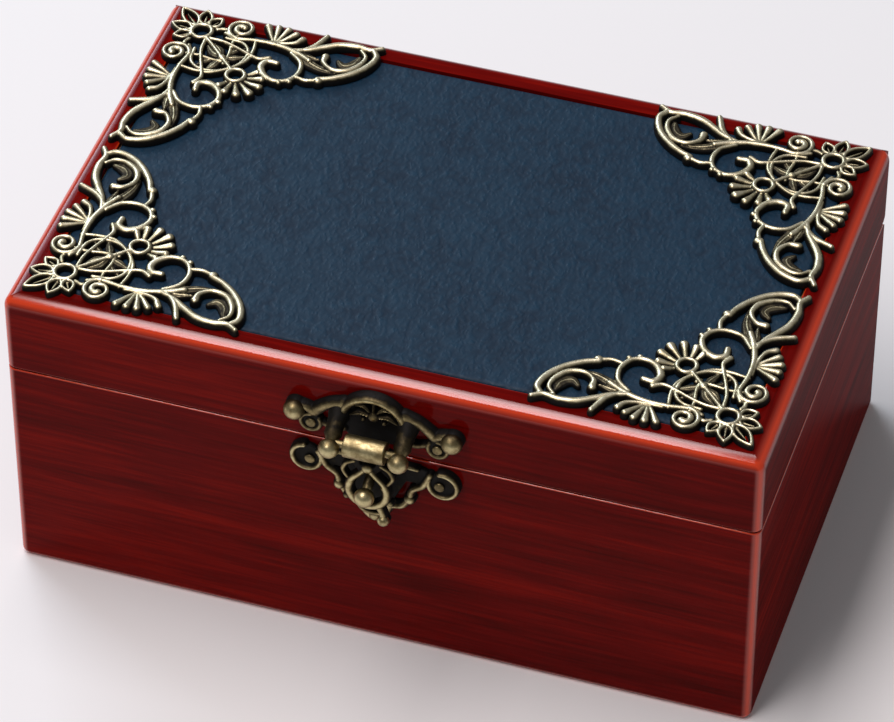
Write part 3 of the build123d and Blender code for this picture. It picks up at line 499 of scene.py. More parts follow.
@dataclass(frozen=True)
class MouldedNylon(Finish):
    """Injection-moulded natural nylon: milky, faintly waxy."""

    def dress(self, paint: Painter) -> Sockets:
        """Slow cloudiness in the milky plastic.

        Args:
            paint: adds to the material's tree.

        Returns:
            The shader's sources and values.
        """
        cloud = paint.noise(paint.place(), 2.5, 3.0, 0.5)
        links = {"Base Color": paint.ramp(cloud, (0.35, "d6d2c4"), (0.65, "e6e3d8"))}
        return links, {"Roughness": 0.4, "Subsurface Weight": 0.2, "Subsurface Radius": (MM, MM, MM)}


@dataclass(frozen=True)
class StudioPaper(Finish):
    """Matt background paper under and behind the box."""

    def dress(self, paint: Painter) -> Sockets:
        """A plain pale surface with hardly any tooth.

        Args:
            paint: adds to the material's tree.

        Returns:
            The shader's sources and values.
        """
        links = {"Normal": paint.bump(paint.noise(paint.place(), 1.5, 3.0, 0.6), 0.03, 0.2)}
        return links, {"Base Color": linear("e9e9e7"), "Roughness": 0.9, "Specular IOR Level": 0.1}


WOOD = {
    Side.FRONT: LacqueredMahogany("lacquered_mahogany_along_x", Axis.X),
    Side.RIGHT: LacqueredMahogany("lacquered_mahogany_along_y", Axis.Y),
    Side.BACK: LacqueredMahogany("lacquered_mahogany_bevelled", Axis.X, 0.12),
    Side.LEFT: LacqueredMahogany("lacquered_mahogany_along_y", Axis.Y),
}
SOFTWOOD_X = PlanedSoftwood("planed_pine_along_x", Axis.X)
SOFTWOOD_Y = PlanedSoftwood("planed_pine_along_y", Axis.Y)
LEATHER = PebbledLeather("pebbled_teal_black_leather")
CAST_BRASS = AntiqueBrass("antiqued_cast_brass")
HASP_BRASS = AntiqueBrass("antiqued_hasp_brass", "17140f", "4c4330", "887a56", "c6b98c")
ROLLED_BRASS = WorkedMetal("rolled_brass", "c9a15a", "9a763c", 0.26)
TURNED_BRASS = WorkedMetal("turned_brass", "d8b56a", "a9843f", 0.22, Axis.Y)
GILT_ZINC = WorkedMetal("gilt_zinc_casting", "b99a63", "917546", 0.38)
GROUND_STEEL = WorkedMetal("ground_tool_steel", "b4b6b8", "8d8f92", 0.26)
BRIGHT_STEEL = WorkedMetal("bright_steel_wire", "c8cacc", "a2a4a8", 0.18, Axis.Z)
VELVET = CottonVelvet("wine_cotton_velvet")
FELT = WoolFelt("green_wool_felt")
MIRROR = SilveredGlass("silvered_mirror_glass")
ACRYLIC = ClearAcrylic("clear_acrylic_sheet")
NYLON = MouldedNylon("moulded_nylon")
PAPER = StudioPaper("studio_paper")


# Ways of making a surface.


def make_piece(
    name: str, shape: Shape, finish: Finish, relief: Array | None = None, weld: bool = True, sharp: float = 0
) -> Piece:
    """Make a smooth-shaded object from points in millimetres.

    Args:
        name: the piece's name.
        shape: (n, 3) places in the frame's axes, and faces as index rows.
        finish: its material.
        relief: per-point value from 0 in a hollow to 1 on a ridge.
        weld: whether points that coincide are merged and normals pointed outwards.
        sharp: the angle in degrees from which an edge is kept sharp, or 0 to keep none.

    Returns:
        The new object, at the origin.
    """
    points, faces = shape
    mesh = bpy.data.meshes.new(name)
    mesh.from_pydata((points * MM).tolist(), [], faces.tolist() if isinstance(faces, Array) else faces)
    if relief is not None:
        layer = mesh.attributes.new("relief", "FLOAT", "POINT")
        layer.data.foreach_set("value", relief.astype(np.float32))
    if weld:
        work = bmesh.new()
        work.from_mesh(mesh)
        bmesh.ops.remove_doubles(work, verts=work.verts, dist=1e-7)
        bmesh.ops.dissolve_degenerate(work, edges=work.edges, dist=1e-8)
        bmesh.ops.recalc_face_normals(work, faces=work.faces)
        work.to_mesh(mesh)
        work.free()
    mesh.update()
    mesh.polygons.foreach_set("use_smooth", np.ones(len(mesh.polygons), bool))
    piece = bpy.data.objects.new(name, mesh)
    bpy.context.scene.collection.objects.link(piece)
    mesh.materials.append(finish.build())
    if sharp:
        sharpen(mesh, np.radians(sharp))
    return piece


def sharpen(mesh: bpy.types.Mesh, limit: float) -> None:
    """Keep an edge sharp where its faces meet at more than an angle.

    Args:
        mesh: the mesh, changed in place.
        limit: the angle in radians.
    """
    work = bmesh.new()
    work.from_mesh(mesh)
    for edge in work.edges:
        edge.smooth = len(edge.link_faces) == 2 and edge.calc_face_angle(0.0) < limit
    work.to_mesh(mesh)
    work.free()


def attach(piece: Piece, node: str, body: str) -> Piece:
    """Hide the CAD node that a piece replaces and make the piece move with a body.

    Args:
        piece: the piece.
        node: the CAD node that it replaces.
        body: the body that it rides on.

    Returns:
        The piece.
    """
    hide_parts(node)
    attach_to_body(piece, body)
    return piece


def grid_faces(rows: int, columns: int, close_rows: bool = False, close_columns: bool = False) -> Array:
    """Quads over a grid of points numbered row by row.

    Args:
        rows: number of rows.
        columns: number of points in a row.
        close_rows: whether the last row meets the first.
        close_columns: whether a row's last point meets its first.

    Returns:
        (m, 4) indices.
    """
    i = np.arange(rows if close_rows else rows - 1)[:, None]
    j = np.arange(columns if close_columns else columns - 1)[None, :]
    after_i, after_j = (i + 1) % rows, (j + 1) % columns
    ends = (i, j), (i, after_j), (after_i, after_j), (after_i, j)
    return np.stack([row * columns + column for row, column in ends], -1).reshape(-1, 4)


def arc(centre: Pair, radii: float | Pair | Array, start: float, sweep: float, steps: int) -> Array:
    """Points along an arc.

    Args:
        centre: its centre.
        radii: one radius, one for each direction, or one for each point.
        start: the first angle in degrees.
        sweep: the angle that it runs over.
        steps: number of points.

    Returns:
        (n, 2) points.
    """
    angle = np.radians(start + sweep * np.linspace(0, 1, steps))
    return np.array(centre) + np.asarray(radii) * np.stack([np.cos(angle), np.sin(angle)], 1)


def raised(flat: Array, height: Array) -> Array:
    """Give flat places, in rows, a height for each place or for each place of a row."""
    return np.concatenate([flat, np.broadcast_to(height[..., None], flat.shape[:2] + (1,))], 2)


def turned(profile: Array, start: Triple, end: Triple, sides: int = 40) -> Shape:
    """A surface of revolution: the profile's radius carried round the line from start to end.

    Args:
        profile: (n, 2) radius and distance from start along the axis.
        start: the axis's first point.
        end: a later point on the axis.
        sides: number of points round it.

    Returns:
        Points and faces.
    """
    along = np.subtract(end, start)
    along /= np.linalg.norm(along)
    helper = np.array([0.0, 0.0, 1.0]) if abs(along[2]) < 0.9 else np.array([1.0, 0.0, 0.0])
    across = np.cross(helper, along)
    across /= np.linalg.norm(across)
    other = np.cross(along, across)
    angle = np.linspace(0, 2 * np.pi, sides, endpoint=False)
    ring = np.cos(angle)[:, None] * across + np.sin(angle)[:, None] * other
    points = np.array(start) + profile[:, None, 1:2] * along + profile[:, None, 0:1] * ring[None]
    return points.reshape(-1, 3), grid_faces(len(profile), sides, close_columns=True)


def gather(*shapes: Shape) -> Shape:
    """Join several sets of points and faces.

    Args:
        shapes: the sets, with faces of four points.

    Returns:
        One set.
    """
    starts = np.cumsum([0] + [len(points) for points, _ in shapes[:-1]])
    faces = [rows + start for (_, rows), start in zip(shapes, starts)]
    return np.vstack([points for points, _ in shapes]), np.vstack(faces)


# Relief castings.


class Section(Enum):
    """How a strand's height runs across it."""

    ROUND = 0
    FLAT = 1
    RIBBED = 2


@dataclass
class Strand:
    """A raised line of a casting.

    Attributes:
        path: (n, 2) centreline in millimetres.
        widths: half-widths at evenly spaced places from start to end.
        crest: heights of the ridge, likewise.
        section: how the height runs across it.
    """

    path: Array
    widths: tuple[float, ...]
    crest: tuple[float, ...] = (1.3,)
    section: Section = Section.ROUND

    def flipped(self) -> "Strand":
        """The same strand mirrored in the corner's diagonal."""
        return replace(self, path=self.path[:, ::-1].copy())


def curve(points: list[Pair]) -> Array:
    """A smooth line through given points, with eight steps to a span.

    Each span is a cubic whose slope at a point is half the step between that point's neighbours.

    Args:
        points: the places it passes.

    Returns:
        (n, 2) points.
    """
    given = np.array(points, float)
    padded = np.vstack([2 * given[0] - given[1], given, 2 * given[-1] - given[-2]])
    t = np.linspace(0, 1, 8, endpoint=False)[None, :, None]
    p0, p1, p2, p3 = (padded[i : len(padded) - 3 + i][:, None] for i in range(4))
    square = (2 * p0 - 5 * p1 + 4 * p2 - p3) * t**2
    line = 0.5 * (2 * p1 + (p2 - p0) * t + square + (3 * p1 - p0 - 3 * p2 + p3) * t**3)
    return np.vstack([line.reshape(-1, 2), given[-1:]])


def stem(
    points: list[Pair], widths: tuple, crest: tuple, section: Section = Section.ROUND, hand: int = 1
) -> Strand:
    """A strand along a smooth line; hand is -1 to mirror it left to right."""
    return Strand(curve([(hand * u, v) for u, v in points]), widths, crest, section)


def leaf(points: list[Pair], widths: tuple, crest: tuple, hand: int = 1) -> Strand:
    """A ribbed strand along a smooth line."""
    return stem(points, widths, crest, Section.RIBBED, hand)


def bar(start: Pair, end: Pair, widths: tuple, crest: float, section: Section = Section.FLAT) -> Strand:
    """A straight strand of one height."""
    return Strand(np.array([start, end], float), widths, (crest,), section)


def coil(
    centre: Pair, start: float, sweep: float, radii: Pair, widths: tuple, crest: tuple, steps: int = 40
) -> Strand:
    """A strand along an arc or spiral, whose radius runs evenly from the first to the last."""
    return Strand(arc(centre, np.linspace(*radii, steps)[:, None], start, sweep, steps), widths, crest)


def boss(u: float, v: float, radius: float, crest: float) -> Strand:
    """A round boss, as a very short strand."""
    return bar((u - 0.01, v), (u + 0.01, v), (radius,), crest, Section.ROUND)


def disc(u: float, v: float, radius: float, crest: float) -> Strand:
    """A flat disc, as a very short strand."""
    return bar((u, v), (u, v + 0.01), (radius,), crest)


@dataclass
class Relief:
    """A casting worked out as a height over a flat grid.

    The distance from each grid point to the nearest strand's edge gives the outline, the largest
    of the strands' heights gives the surface, and grid points beside the outline are moved onto
    it, so that the outline is smooth however coarse the grid.
    """

    strands: list[Strand]
    cell: float = 0.12
    edge: float = 0.35
    floor: float = 0.0
    top: float = 1.8
    mirrored: bool = False

    def field(self) -> tuple[Array, Array, Array, Array, Array]:
        """Work out the grid.

        Returns:
            Grid u, grid v, distance outside the outline, height, and how near the ridge line.
        """
        low = np.min([s.path.min(0) - max(s.widths) for s in self.strands], axis=0) - 3 * self.cell
        high = np.max([s.path.max(0) + max(s.widths) for s in self.strands], axis=0) + 3 * self.cell
        lines = [np.arange(low[k], high[k], self.cell) for k in (0, 1)]
        u, v = np.meshgrid(*lines, indexing="ij")
        away = np.full(u.shape, 9.0)
        height = np.zeros(u.shape)
        ridge = np.zeros(u.shape)
        for strand in self.strands:
            self._press(strand, u, v, low, away, height, ridge)
        return u, v, away, height, ridge

    def _press(
        self, strand: Strand, u: Array, v: Array, low: Array, away: Array, height: Array, ridge: Array
    ) -> None:
        """Add one strand to the grid, in place.

        Args:
            strand: what to add.
            u: grid u.
            v: grid v.
            low: the grid's first corner.
            away: distance outside the outline, lowered in place.
            height: height, raised in place.
            ridge: 1 on the ridge line of the strand that is on top, set in place.
        """
        path = strand.path
        step = np.r_[0, np.cumsum(np.hypot(*np.diff(path, axis=0).T))]
        given = (strand.widths, strand.crest)
        half, crest = (np.interp(step / step[-1], np.linspace(0, 1, len(row)), row) for row in given)
        reach = max(strand.widths) + 4 * self.cell
        for k, (a, b) in enumerate(zip(path[:-1], path[1:])):
            i0, j0 = ((np.minimum(a, b) - reach - low) / self.cell).astype(int).clip(0)
            i1, j1 = ((np.maximum(a, b) + reach - low) / self.cell).astype(int) + 1
            near = (slice(i0, i1), slice(j0, j1))
            du, dv = u[near] - a[0], v[near] - a[1]
            run = b - a
            t = np.clip((du * run[0] + dv * run[1]) / max(run @ run, 1e-12), 0, 1)
            off = np.hypot(du - t * run[0], dv - t * run[1])
            wide = half[k] + t * (half[k + 1] - half[k])
            rise = crest[k] + t * (crest[k + 1] - crest[k])
            shape = self._across(strand.section, np.clip(off / wide, 0, 1), wide)
            tall = np.where(off < wide, self.edge + (rise - self.edge) * shape, 0)
            away[near] = np.minimum(away[near], off - wide)
            worn = shape * (0.45 if strand.section is Section.FLAT else 1.0)
            ridge[near] = np.where(tall > height[near], worn, ridge[near])
            height[near] = np.maximum(height[near], tall)

    @staticmethod
    def _across(section: Section, inside: Array, wide: Array) -> Array:
        """A section's height.

        Args:
            section: the section.
            inside: place across it, 0 on the ridge line and 1 at the edge.
            wide: the half-width there.

        Returns:
            Height, 0 at the edge and 1 on the ridge line.
        """
        if section is Section.FLAT:
            return np.clip((1 - inside) * wide / 0.25, 0, 1) ** 0.5
        dome = np.sqrt(1 - inside**2)
        return dome * (0.72 + 0.28 * np.cos(inside * 3 * np.pi)) if section is Section.RIBBED else dome

    @staticmethod
    def _soften(values: Array, times: int) -> Array:
        """Average each grid value with its neighbours.

        Args:
            values: the grid.
            times: how many times.

        Returns:
            The softer grid.
        """
        for _ in range(times):
            for axis in (0, 1):
                values = (values + np.roll(values, 1, axis) + np.roll(values, -1, axis)) / 3
        return values

    def surface(self) -> tuple[Array, Array, Array]:
        """The closed casting.

        Returns:
            (n, 3) points as u, v and height, (m, 4) faces, and the relief value of each point.
        """
        u, v, away, height, ridge = self.field()
        mask = (away < 0).astype(float)
        spread = self._soften(height * mask, 6) / np.maximum(self._soften(mask, 6), 0.05)
        soft = self._soften(height * mask, 1) / np.maximum(self._soften(mask, 1), 0.3)
        height = np.where(mask > 0, 0.45 * height + 0.55 * np.minimum(soft, self.top), self.edge)
        slope_u, slope_v = np.gradient(away, self.cell)
        steep = np.maximum(np.hypot(slope_u, slope_v), 0.3)
        kept = away[:-1, :-1] + away[1:, :-1] + away[:-1, 1:] + away[1:, 1:] < 0
        touch = sum(np.pad(kept.astype(int), ((i, 1 - i), (j, 1 - j))) for i in (0, 1) for j in (0, 1))
        used = touch > 0
        rim = used & (touch < 4)
        shift = np.clip(away, -self.cell, self.cell) * rim / steep**2
        u = u - shift * slope_u
        v = v - shift * slope_v
        height = np.where(rim, self.edge, height)
        span = self.top - self.edge
        cavity = np.clip(0.5 + 1.1 * (height - spread) / span, 0, 1)
        worn = np.clip((height - self.edge) / (0.85 * span), 0, 1)
        shade = np.clip(ridge**1.7 * (0.45 + 0.55 * worn) + 0.35 * (cavity - 0.5) + 0.05, 0, 1)[used]
        index = np.cumsum(used.ravel()).reshape(used.shape) - 1
        count = int(used.sum())
        i, j = np.nonzero(kept)
        quads = np.stack([index[i, j], index[i + 1, j], index[i + 1, j + 1], index[i, j + 1]], 1)
        upper = np.stack([u[used], v[used], height[used]], 1)
        lower = upper.copy()
        lower[:, 2] = -upper[:, 2] if self.mirrored else self.floor
        edges = quads[:, [0, 1, 1, 2, 2, 3, 3, 0]].reshape(-1, 2)
        there, back = (edges @ np.array(order, np.int64) for order in ((count, 1), (1, count)))
        first, last = edges[~np.isin(there, back)].T
        walls = np.stack([last, first, first + count, last + count], 1)
        faces = np.vstack([quads, quads[:, ::-1] + count, walls])
        return np.vstack([upper, lower]), faces, np.r_[shade, shade * 0.2]


# The pierced corners.


@dataclass
class CornerOrnaments:
    """Four cast filigree corners, each the same casting turned a quarter turn from the last."""

    reach_x: float = 75.9
    reach_y: float = 47.2
    seat: float = 71.8
    proud: float = 1.8
    fullness: float = 1.09
    flower: Pair = (6.9, 6.9)
    shell: Pair = (18.6, 18.6)
    ray_turn: float = 24.5
    ray_reach: float = 6.5
    petals: tuple[Triple, ...] = (
        (225, 9.3, 1.5), (262, 7.3, 1.35), (188, 7.3, 1.35), (299, 6.3, 1.2), (151, 6.3, 1.2),
    )

    def blossom(self) -> list[Strand]:
        """The five-petalled flower in the corner: an open ring and looped petals that touch.

        Returns:
            Its strands.
        """
        strands = [coil(self.flower, 0, 360, (2.15, 2.15), (0.62,), (1.65,))]
        for angle, tip, wide in self.petals:
            strands += self.petal(angle, 2.4, tip, wide)
        return strands

    def petal(self, angle: float, near: float, far: float, wide: float) -> list[Strand]:
        """A petal: an outline that swells and closes, with a low rib inside.

        Args:
            angle: its direction in degrees.
            near: distance of its root.
            far: distance of its tip.
            wide: greatest half-width.

        Returns:
            The outline and the rib.
        """
        turn = np.radians(angle)
        along = np.array([np.cos(turn), np.sin(turn)])
        side = np.array([-along[1], along[0]])
        t = np.linspace(0, 1, 17)[:, None]
        line = np.array(self.flower) + (near + (far - 0.4 - near) * t) * along
        bulge = wide * np.sin(np.pi * t**0.85) ** 0.85
        loop = np.vstack([line + bulge * side, (line - bulge * side)[::-1]])
        return [Strand(loop, (0.46,), (1.5,)), Strand(line[[0, 11]], (0.5, 0.42, 0.2), (1.0,))]

    def trellis(self) -> list[Strand]:
        """The woven stems and leaf blades between the flower and the shell.

        Returns:
            Their strands.
        """
        knot = (13.9, 13.9)
        low = [(23.4, 11.0), (21.4, 11.9), (19.0, 11.2), (15.6, 9.8), (12.4, 8.8), (9.4, 8.6)]
        high = [(7.4, 12.6), (8.0, 16.6), (10.6, 18.6), (14.4, 18.2), (17.2, 16.0), (19.2, 13.0), (19.4, 9.6)]
        strands = [
            stem(low, (0.75, 0.5, 0.5, 0.55), (1.55,)),
            stem(high + [(18.8, 6.0)], (0.52,), (1.4,)),
            stem([(14.8, 15.6), (14.9, 12.4), (14.4, 9.0), (14.6, 6.2)], (0.48,), (1.3,)),
            leaf([knot, (16.4, 12.9), (18.6, 11.8)], (0.5, 1.05, 0.3), (1.35, 1.1)),
            leaf([knot, (12.6, 11.4), (10.6, 9.6)], (0.45, 1.1, 0.3), (1.35, 1.0)),
            leaf([(14.4, 13.2), (15.6, 10.8), (17.8, 9.2)], (0.3, 0.8, 0.2), (1.1,)),
        ]
        strands += [strand.flipped() for strand in strands]
        strands.append(stem([(8.6, 8.6), (11.4, 11.4), knot, (16.9, 16.9)], (0.6, 0.5, 0.65, 0.55), (1.6,)))
        return strands + [boss(*knot, 1.0, 1.78)]

    def cockle(self) -> list[Strand]:
        """The shell on the long side: an open ring and seven close rays with swollen tips.

        Returns:
            Its strands.
        """
        strands = [coil(self.shell, 0, 360, (1.95, 1.95), (0.62,), (1.65,))]
        for k in range(-3, 4):
            turn = np.radians(45 + self.ray_turn * k)
            along = np.array([np.cos(turn), np.sin(turn)])
            reach = self.ray_reach - 0.21 * k**2
            ends = np.array(self.shell) + np.array([[2.3], [0.5 * (2.3 + reach)], [reach]]) * along
            strands.append(Strand(ends, (0.5, 0.7, 1.16 - 0.1 * abs(k)), (1.05, 1.3, 1.8)))
        return strands

    def leg(self) -> list[Strand]:
        """Everything along one leg of the corner.

        Returns:
            Its strands.
        """
        main = [(12.0, 5.9), (14.6, 6.9), (19.0, 6.3), (24.0, 6.4), (28.4, 7.6), (31.6, 9.2)]
        scroll = [(27.4, 8.0), (30.2, 10.4), (30.9, 13.8), (29.6, 16.7), (26.9, 17.8), (24.1, 16.6)]
        spine = [(27.4, 7.0), (30.6, 5.9), (33.4, 4.0), (36.4, 2.3), (40.0, 1.7), (43.0, 2.1), (45.2, 0.9)]
        border = [(43.6, 2.0), (44.9, 4.2), (43.9, 7.8), (41.4, 11.0), (38.2, 13.4), (35.4, 14.6)]
        ring = [(34.6, 6.9), (34.9, 9.0), (37.3, 10.6), (40.3, 9.9), (42.3, 7.3), (42.7, 4.6), (41.2, 2.8)]
        blade = [(27.4, 7.2), (31.0, 9.2), (34.4, 10.7), (38.2, 11.4)]
        heart = [(37.4, 7.0), (39.0, 8.2), (40.8, 7.0), (41.4, 4.6)]
        scroll += [(22.7, 14.2), (23.5, 12.2), (25.6, 12.2)]
        return [
            stem(main, (0.62, 0.66, 0.7, 0.85, 0.75), (1.45, 1.65)),
            leaf(blade, (0.5, 1.35, 1.0, 0.3), (1.35, 1.1)),
            leaf([(28.6, 7.2), (31.4, 7.8), (33.6, 8.2)], (0.5, 0.9, 0.3), (1.25,)),
            stem(spine, (0.6, 0.75, 0.95, 1.0, 0.95, 0.8, 0.7), (1.6, 1.78)),
            stem(border, (0.8, 0.9, 0.95, 0.9, 0.8), (1.75,)),
            boss(35.6, 15.0, 1.15, 1.8),
            stem(ring, (1.0, 0.62, 0.75, 0.85, 0.8, 0.6, 0.5), (1.75, 1.45)),
            leaf(heart, (0.5, 1.1, 1.25, 0.5), (1.0, 0.95)),
            stem(scroll, (0.6, 0.66, 0.7, 0.7, 0.72, 0.8, 1.0, 0.95, 0.8), (1.5, 1.75)),
            boss(28.0, 18.2, 0.72, 1.7),
            boss(30.0, 17.2, 0.72, 1.7),
            stem([(30.6, 15.2), (33.0, 15.7), (35.6, 14.9)], (0.62, 0.66, 0.7), (1.6,)),
            stem([(28.6, 7.1), (31.2, 4.6), (32.9, 0.6)], (0.65, 0.85, 0.72), (1.6, 1.75)),
            coil((15.0, 3.8), 96, 560, (3.1, 0.7), (0.66, 0.6, 0.6, 0.95), (1.6, 1.75), 90),
            stem([(9.8, 5.2), (11.2, 4.6), (12.6, 5.2)], (0.5, 0.6, 0.5), (1.3,)),
        ] + self.palmette()

    def palmette(self) -> list[Strand]:
        """Four thick lobes that spread from under the stem, and the arc over them.

        Returns:
            Their strands.
        """
        root = np.array([22.8, 6.0])
        over = [(20.0, 5.8), (24.2, 5.6), (27.0, 4.7), (28.2, 3.0)]
        strands = [stem(over, (0.5, 0.5, 0.6, 0.9), (1.3, 1.7))]
        for tip, wide in (((19.9, 1.1), 0.95), ((22.2, 0.9), 0.95), ((24.4, 1.0), 0.95), ((26.4, 1.9), 0.9)):
            middle = root + 0.5 * (np.array(tip) - root) + np.array([0.0, 0.2])
            strands.append(stem([root, middle, tip], (0.4, 0.62, wide), (1.1, 1.78)))
        return strands

    def laid(self, turns: int, x: float, y: float, points: Array) -> Array:
        """Lay the casting on the lid.

        Args:
            turns: quarter turns anticlockwise.
            x: where its own corner goes.
            y: likewise.
            points: (n, 3) u, v and height.

        Returns:
            Places in the frame.
        """
        c, s = [(1, 0), (0, 1), (-1, 0), (0, -1)][turns]
        u, v, height = points.T
        return np.stack([x + c * u - s * v, y + s * u + c * v, self.seat + height], 1)

    def build(self) -> list[Piece]:
        """Cast the corner once and lay it at the four corners.

        Returns:
            The four pieces.
        """
        leg = self.leg()
        strands = self.blossom() + self.trellis() + self.cockle() + leg + [strand.flipped() for strand in leg]
        widths = [tuple(self.fullness * wide for wide in strand.widths) for strand in strands]
        full = [replace(strand, widths=wide) for strand, wide in zip(strands, widths)]
        points, faces, shade = Relief(full, cell=0.13, edge=0.55, top=self.proud - 0.02).surface()
        pieces = []
        places = ("front_left", -1, -1), ("front_right", 1, -1), ("back_right", 1, 1), ("back_left", -1, 1)
        for turns, (name, sx, sy) in enumerate(places):
            shape = (self.laid(turns, sx * self.reach_x, sy * self.reach_y, points), faces)
            piece = make_piece(f"filigree_corner_{name}", shape, CAST_BRASS, shade, weld=False, sharp=60)
            pieces.append(attach(piece, f"ornament_{name}", "lid"))
        return pieces


# The hasp.


@dataclass
class DropHasp:
    """The latch: a crowned upper plate with two lugs, a hanging flap and a keeper plate with its post."""

    front: float = -50.3
    axis_out: float = 6.7
    axis_z: float = 59.1
    lug_x: float = 7.2
    ring_z: float = 46.8
    ball_x: float = 16.4

    def at(self, x: float, out: float, z: float) -> Triple:
        """A place in front of the box."""
        return x, self.front - out, z

    @staticmethod
    def stud(
        profile: Array, start: Triple, end: Triple, at: list[float], shades: list[float], sides: int = 32
    ) -> tuple[Shape, Array]:
        """A turned solid whose relief value runs along it.

        Args:
            profile: radius and distance along the axis.
            start: the axis's first point.
            end: a later point on the axis.
            at: distances along the axis.
            shades: the relief values there.
            sides: number of points round it.

        Returns:
            Its shape and its points' relief values.
        """
        return turned(profile, start, end, sides), np.repeat(np.interp(profile[:, 1], at, shades), sides)

    def cast(self, name: str, relief: Relief, solids: list[tuple[Shape, Array]]) -> Piece:
        """One piece from a relief standing on the front, u right and v up, and turned solids on it.

        Args:
            name: the piece's name.
            relief: the casting.
            solids: closed shapes, each with its points' relief values.

        Returns:
            The new object.
        """
        points, faces, shade = relief.surface()
        u, v, height = points.T
        standing = (np.stack([u, self.front - height, v], 1), faces)
        shapes, shades = zip((standing, shade), *solids)
        return make_piece(name, gather(*shapes), HASP_BRASS, np.concatenate(shades), weld=False, sharp=50)

    def upper_plate(self) -> Piece:
        """The plate on the lid: an arched rim round a hollow, arms, nail discs and outer balls.

        Returns:
            The plate with its lugs.
        """
        rib = np.array([[0.0, 64.2], [0.0, 66.6]])
        strands = [
            coil((0.0, 61.4), -8, 196, (6.5, 6.5), (1.05,), (2.5,)),
            bar((-4.8, 61.0), (4.8, 61.0), (3.2, 4.6, 3.2), 0.9),
            bar((-4.2, 58.4), (4.2, 58.4), (2.2,), 0.9),
            Strand(rib, (0.5, 0.75, 0.4), (2.2, 2.0), Section.RIBBED),
            boss(0.0, 63.2, 1.35, 2.3),
        ]
        solids = []
        for s in HANDS:
            strands += [
                boss(s * 2.2, 62.0, 0.6, 1.9),
                leaf([(1.0, 63.4), (3.0, 63.6), (5.2, 62.4)], (0.3, 0.9, 0.25), (2.2, 1.9), s),
                leaf([(0.8, 64.4), (2.2, 65.6), (3.9, 65.3)], (0.3, 0.75, 0.25), (2.1, 1.9), s),
                stem([(6.3, 64.6), (9.6, 63.6), (12.6, 61.0)], (1.6, 1.2, 1.5), (2.0, 1.8), hand=s),
                coil((s * 13.2, 58.2), 90, -s * 300, (2.15, 2.0), (0.6,), (2.0, 1.7)),
                disc(s * 13.2, 58.2, 2.3, 1.3),
                stem([(12.6, 61.0), (14.6, 62.0), (16.4, 61.4)], (1.3, 1.0, 1.4), (1.9, 2.4), hand=s),
                boss(s * self.ball_x, 61.2, 2.25, 3.3),
                stem([(6.4, 58.2), (8.6, 57.6), (10.9, 58.4)], (1.0, 0.8, 0.7), (1.5,), hand=s),
            ]
            start, end = self.at(s * self.lug_x, 0.4, 62.6), self.at(s * self.lug_x, 8.5, 58.3)
            length = float(np.linalg.norm(np.subtract(end, start)))
            shank = [[0, 0], [2.5, 0], [2.2, 1.2], [1.9, 2.8], [1.75, 4.4], [1.85, 5.6]]
            head = arc((0, length - 0.5), (2.15, 2.0), -90, 180, 18)[3:-1]
            lug = np.vstack([shank, head, [0, length + 1.5]])
            solids.append(self.stud(lug, start, end, [0.0, 5.0, 6.6, length + 1.5], [0.15, 0.38, 0.6, 1.0]))
            ball = np.vstack([[0, 0], [1.9, 0], arc((0, 1.6), (2.25, 2.1), 0, 90, 10)])
            start, end = self.at(s * self.ball_x, 0.4, 61.2), self.at(s * self.ball_x, 4.1, 61.2)
            solids.append(self.stud(ball, start, end, [0.6, 2.0, 3.7], [0.2, 0.55, 0.95]))
        piece = self.cast("hasp_crowned_plate", Relief(strands, edge=0.75, top=3.3), solids)
        return attach(piece, "hasp_upper_plate", "lid")

    def pin(self) -> Piece:
        """The cross pin between the lugs, with its riveted ends.

        Returns:
            The pin.
        """
        half = self.lug_x + 0.4
        end = arc((0, 2 * half - 0.3), (0.8, 0.3), 0, 90, 5)
        profile = np.vstack([[0, 0], [0.6, 0.02], [0.8, 0.25], end])
        ends = [self.at(s * half, self.axis_out, self.axis_z) for s in HANDS]
        shape = turned(profile, *ends, 24)
        piece = make_piece("hasp_cross_pin", shape, HASP_BRASS, np.full(len(shape[0]), 0.8), sharp=35)
        return attach(piece, "hasp_pin", "lid")

    def flap(self) -> Piece:
        """The hanging flap: a shield with a pointed ring round the post, beads and a finger ball.

        Returns:
            The flap with its knuckle.
        """
        arch = [(-4.0, 46.4), (-3.5, 49.0), (-1.8, 51.0), (0.0, 52.6), (1.8, 51.0), (3.5, 49.0), (4.0, 46.4)]
        shoulder = [(3.2, 57.6), (2.6, 55.6), (2.4, 54.0), (1.5, 52.6)]
        ear = [(4.3, 49.6), (5.2, 51.4), (4.4, 53.2), (2.8, 54.2)]
        strands = [
            coil((0.0, self.ring_z), 150, 240, (4.0, 4.0), (0.95,), (6.35,)),
            stem(arch, (0.95, 0.8, 0.75, 0.8, 0.95), (6.35, 6.2, 6.35)),
            *(stem(shoulder, (1.1, 0.9, 0.8), (5.7,), Section.FLAT, s) for s in HANDS),
            bar((-3.2, 57.6), (3.2, 57.6), (1.5,), 5.8),
            boss(0.0, 53.0, 1.4, 6.6),
            *(stem(ear, (0.5, 0.6, 0.5), (5.9,), hand=s) for s in HANDS),
            stem([(2.0, 43.4), (2.9, 41.6), (3.2, 39.9)], (1.0, 0.85, 1.0), (6.1,)),
            stem([(-2.2, 43.2), (-1.2, 41.6), (0.8, 41.0), (2.6, 41.2)], (0.7, 0.6, 0.6), (5.9,)),
            boss(3.2, 39.5, 1.3, 6.55),
            boss(-4.5, 44.2, 0.8, 6.0),
            boss(4.7, 44.4, 0.8, 6.0),
        ]
        half = 4.3
        rounds = [arc((2.1, 0.3), 0.3, -90, 90, 6), [2.4, half], arc((2.1, 2 * half - 0.3), 0.3, 0, 90, 6)]
        body = np.vstack([[0, 0], *rounds, [0, 2 * half]])
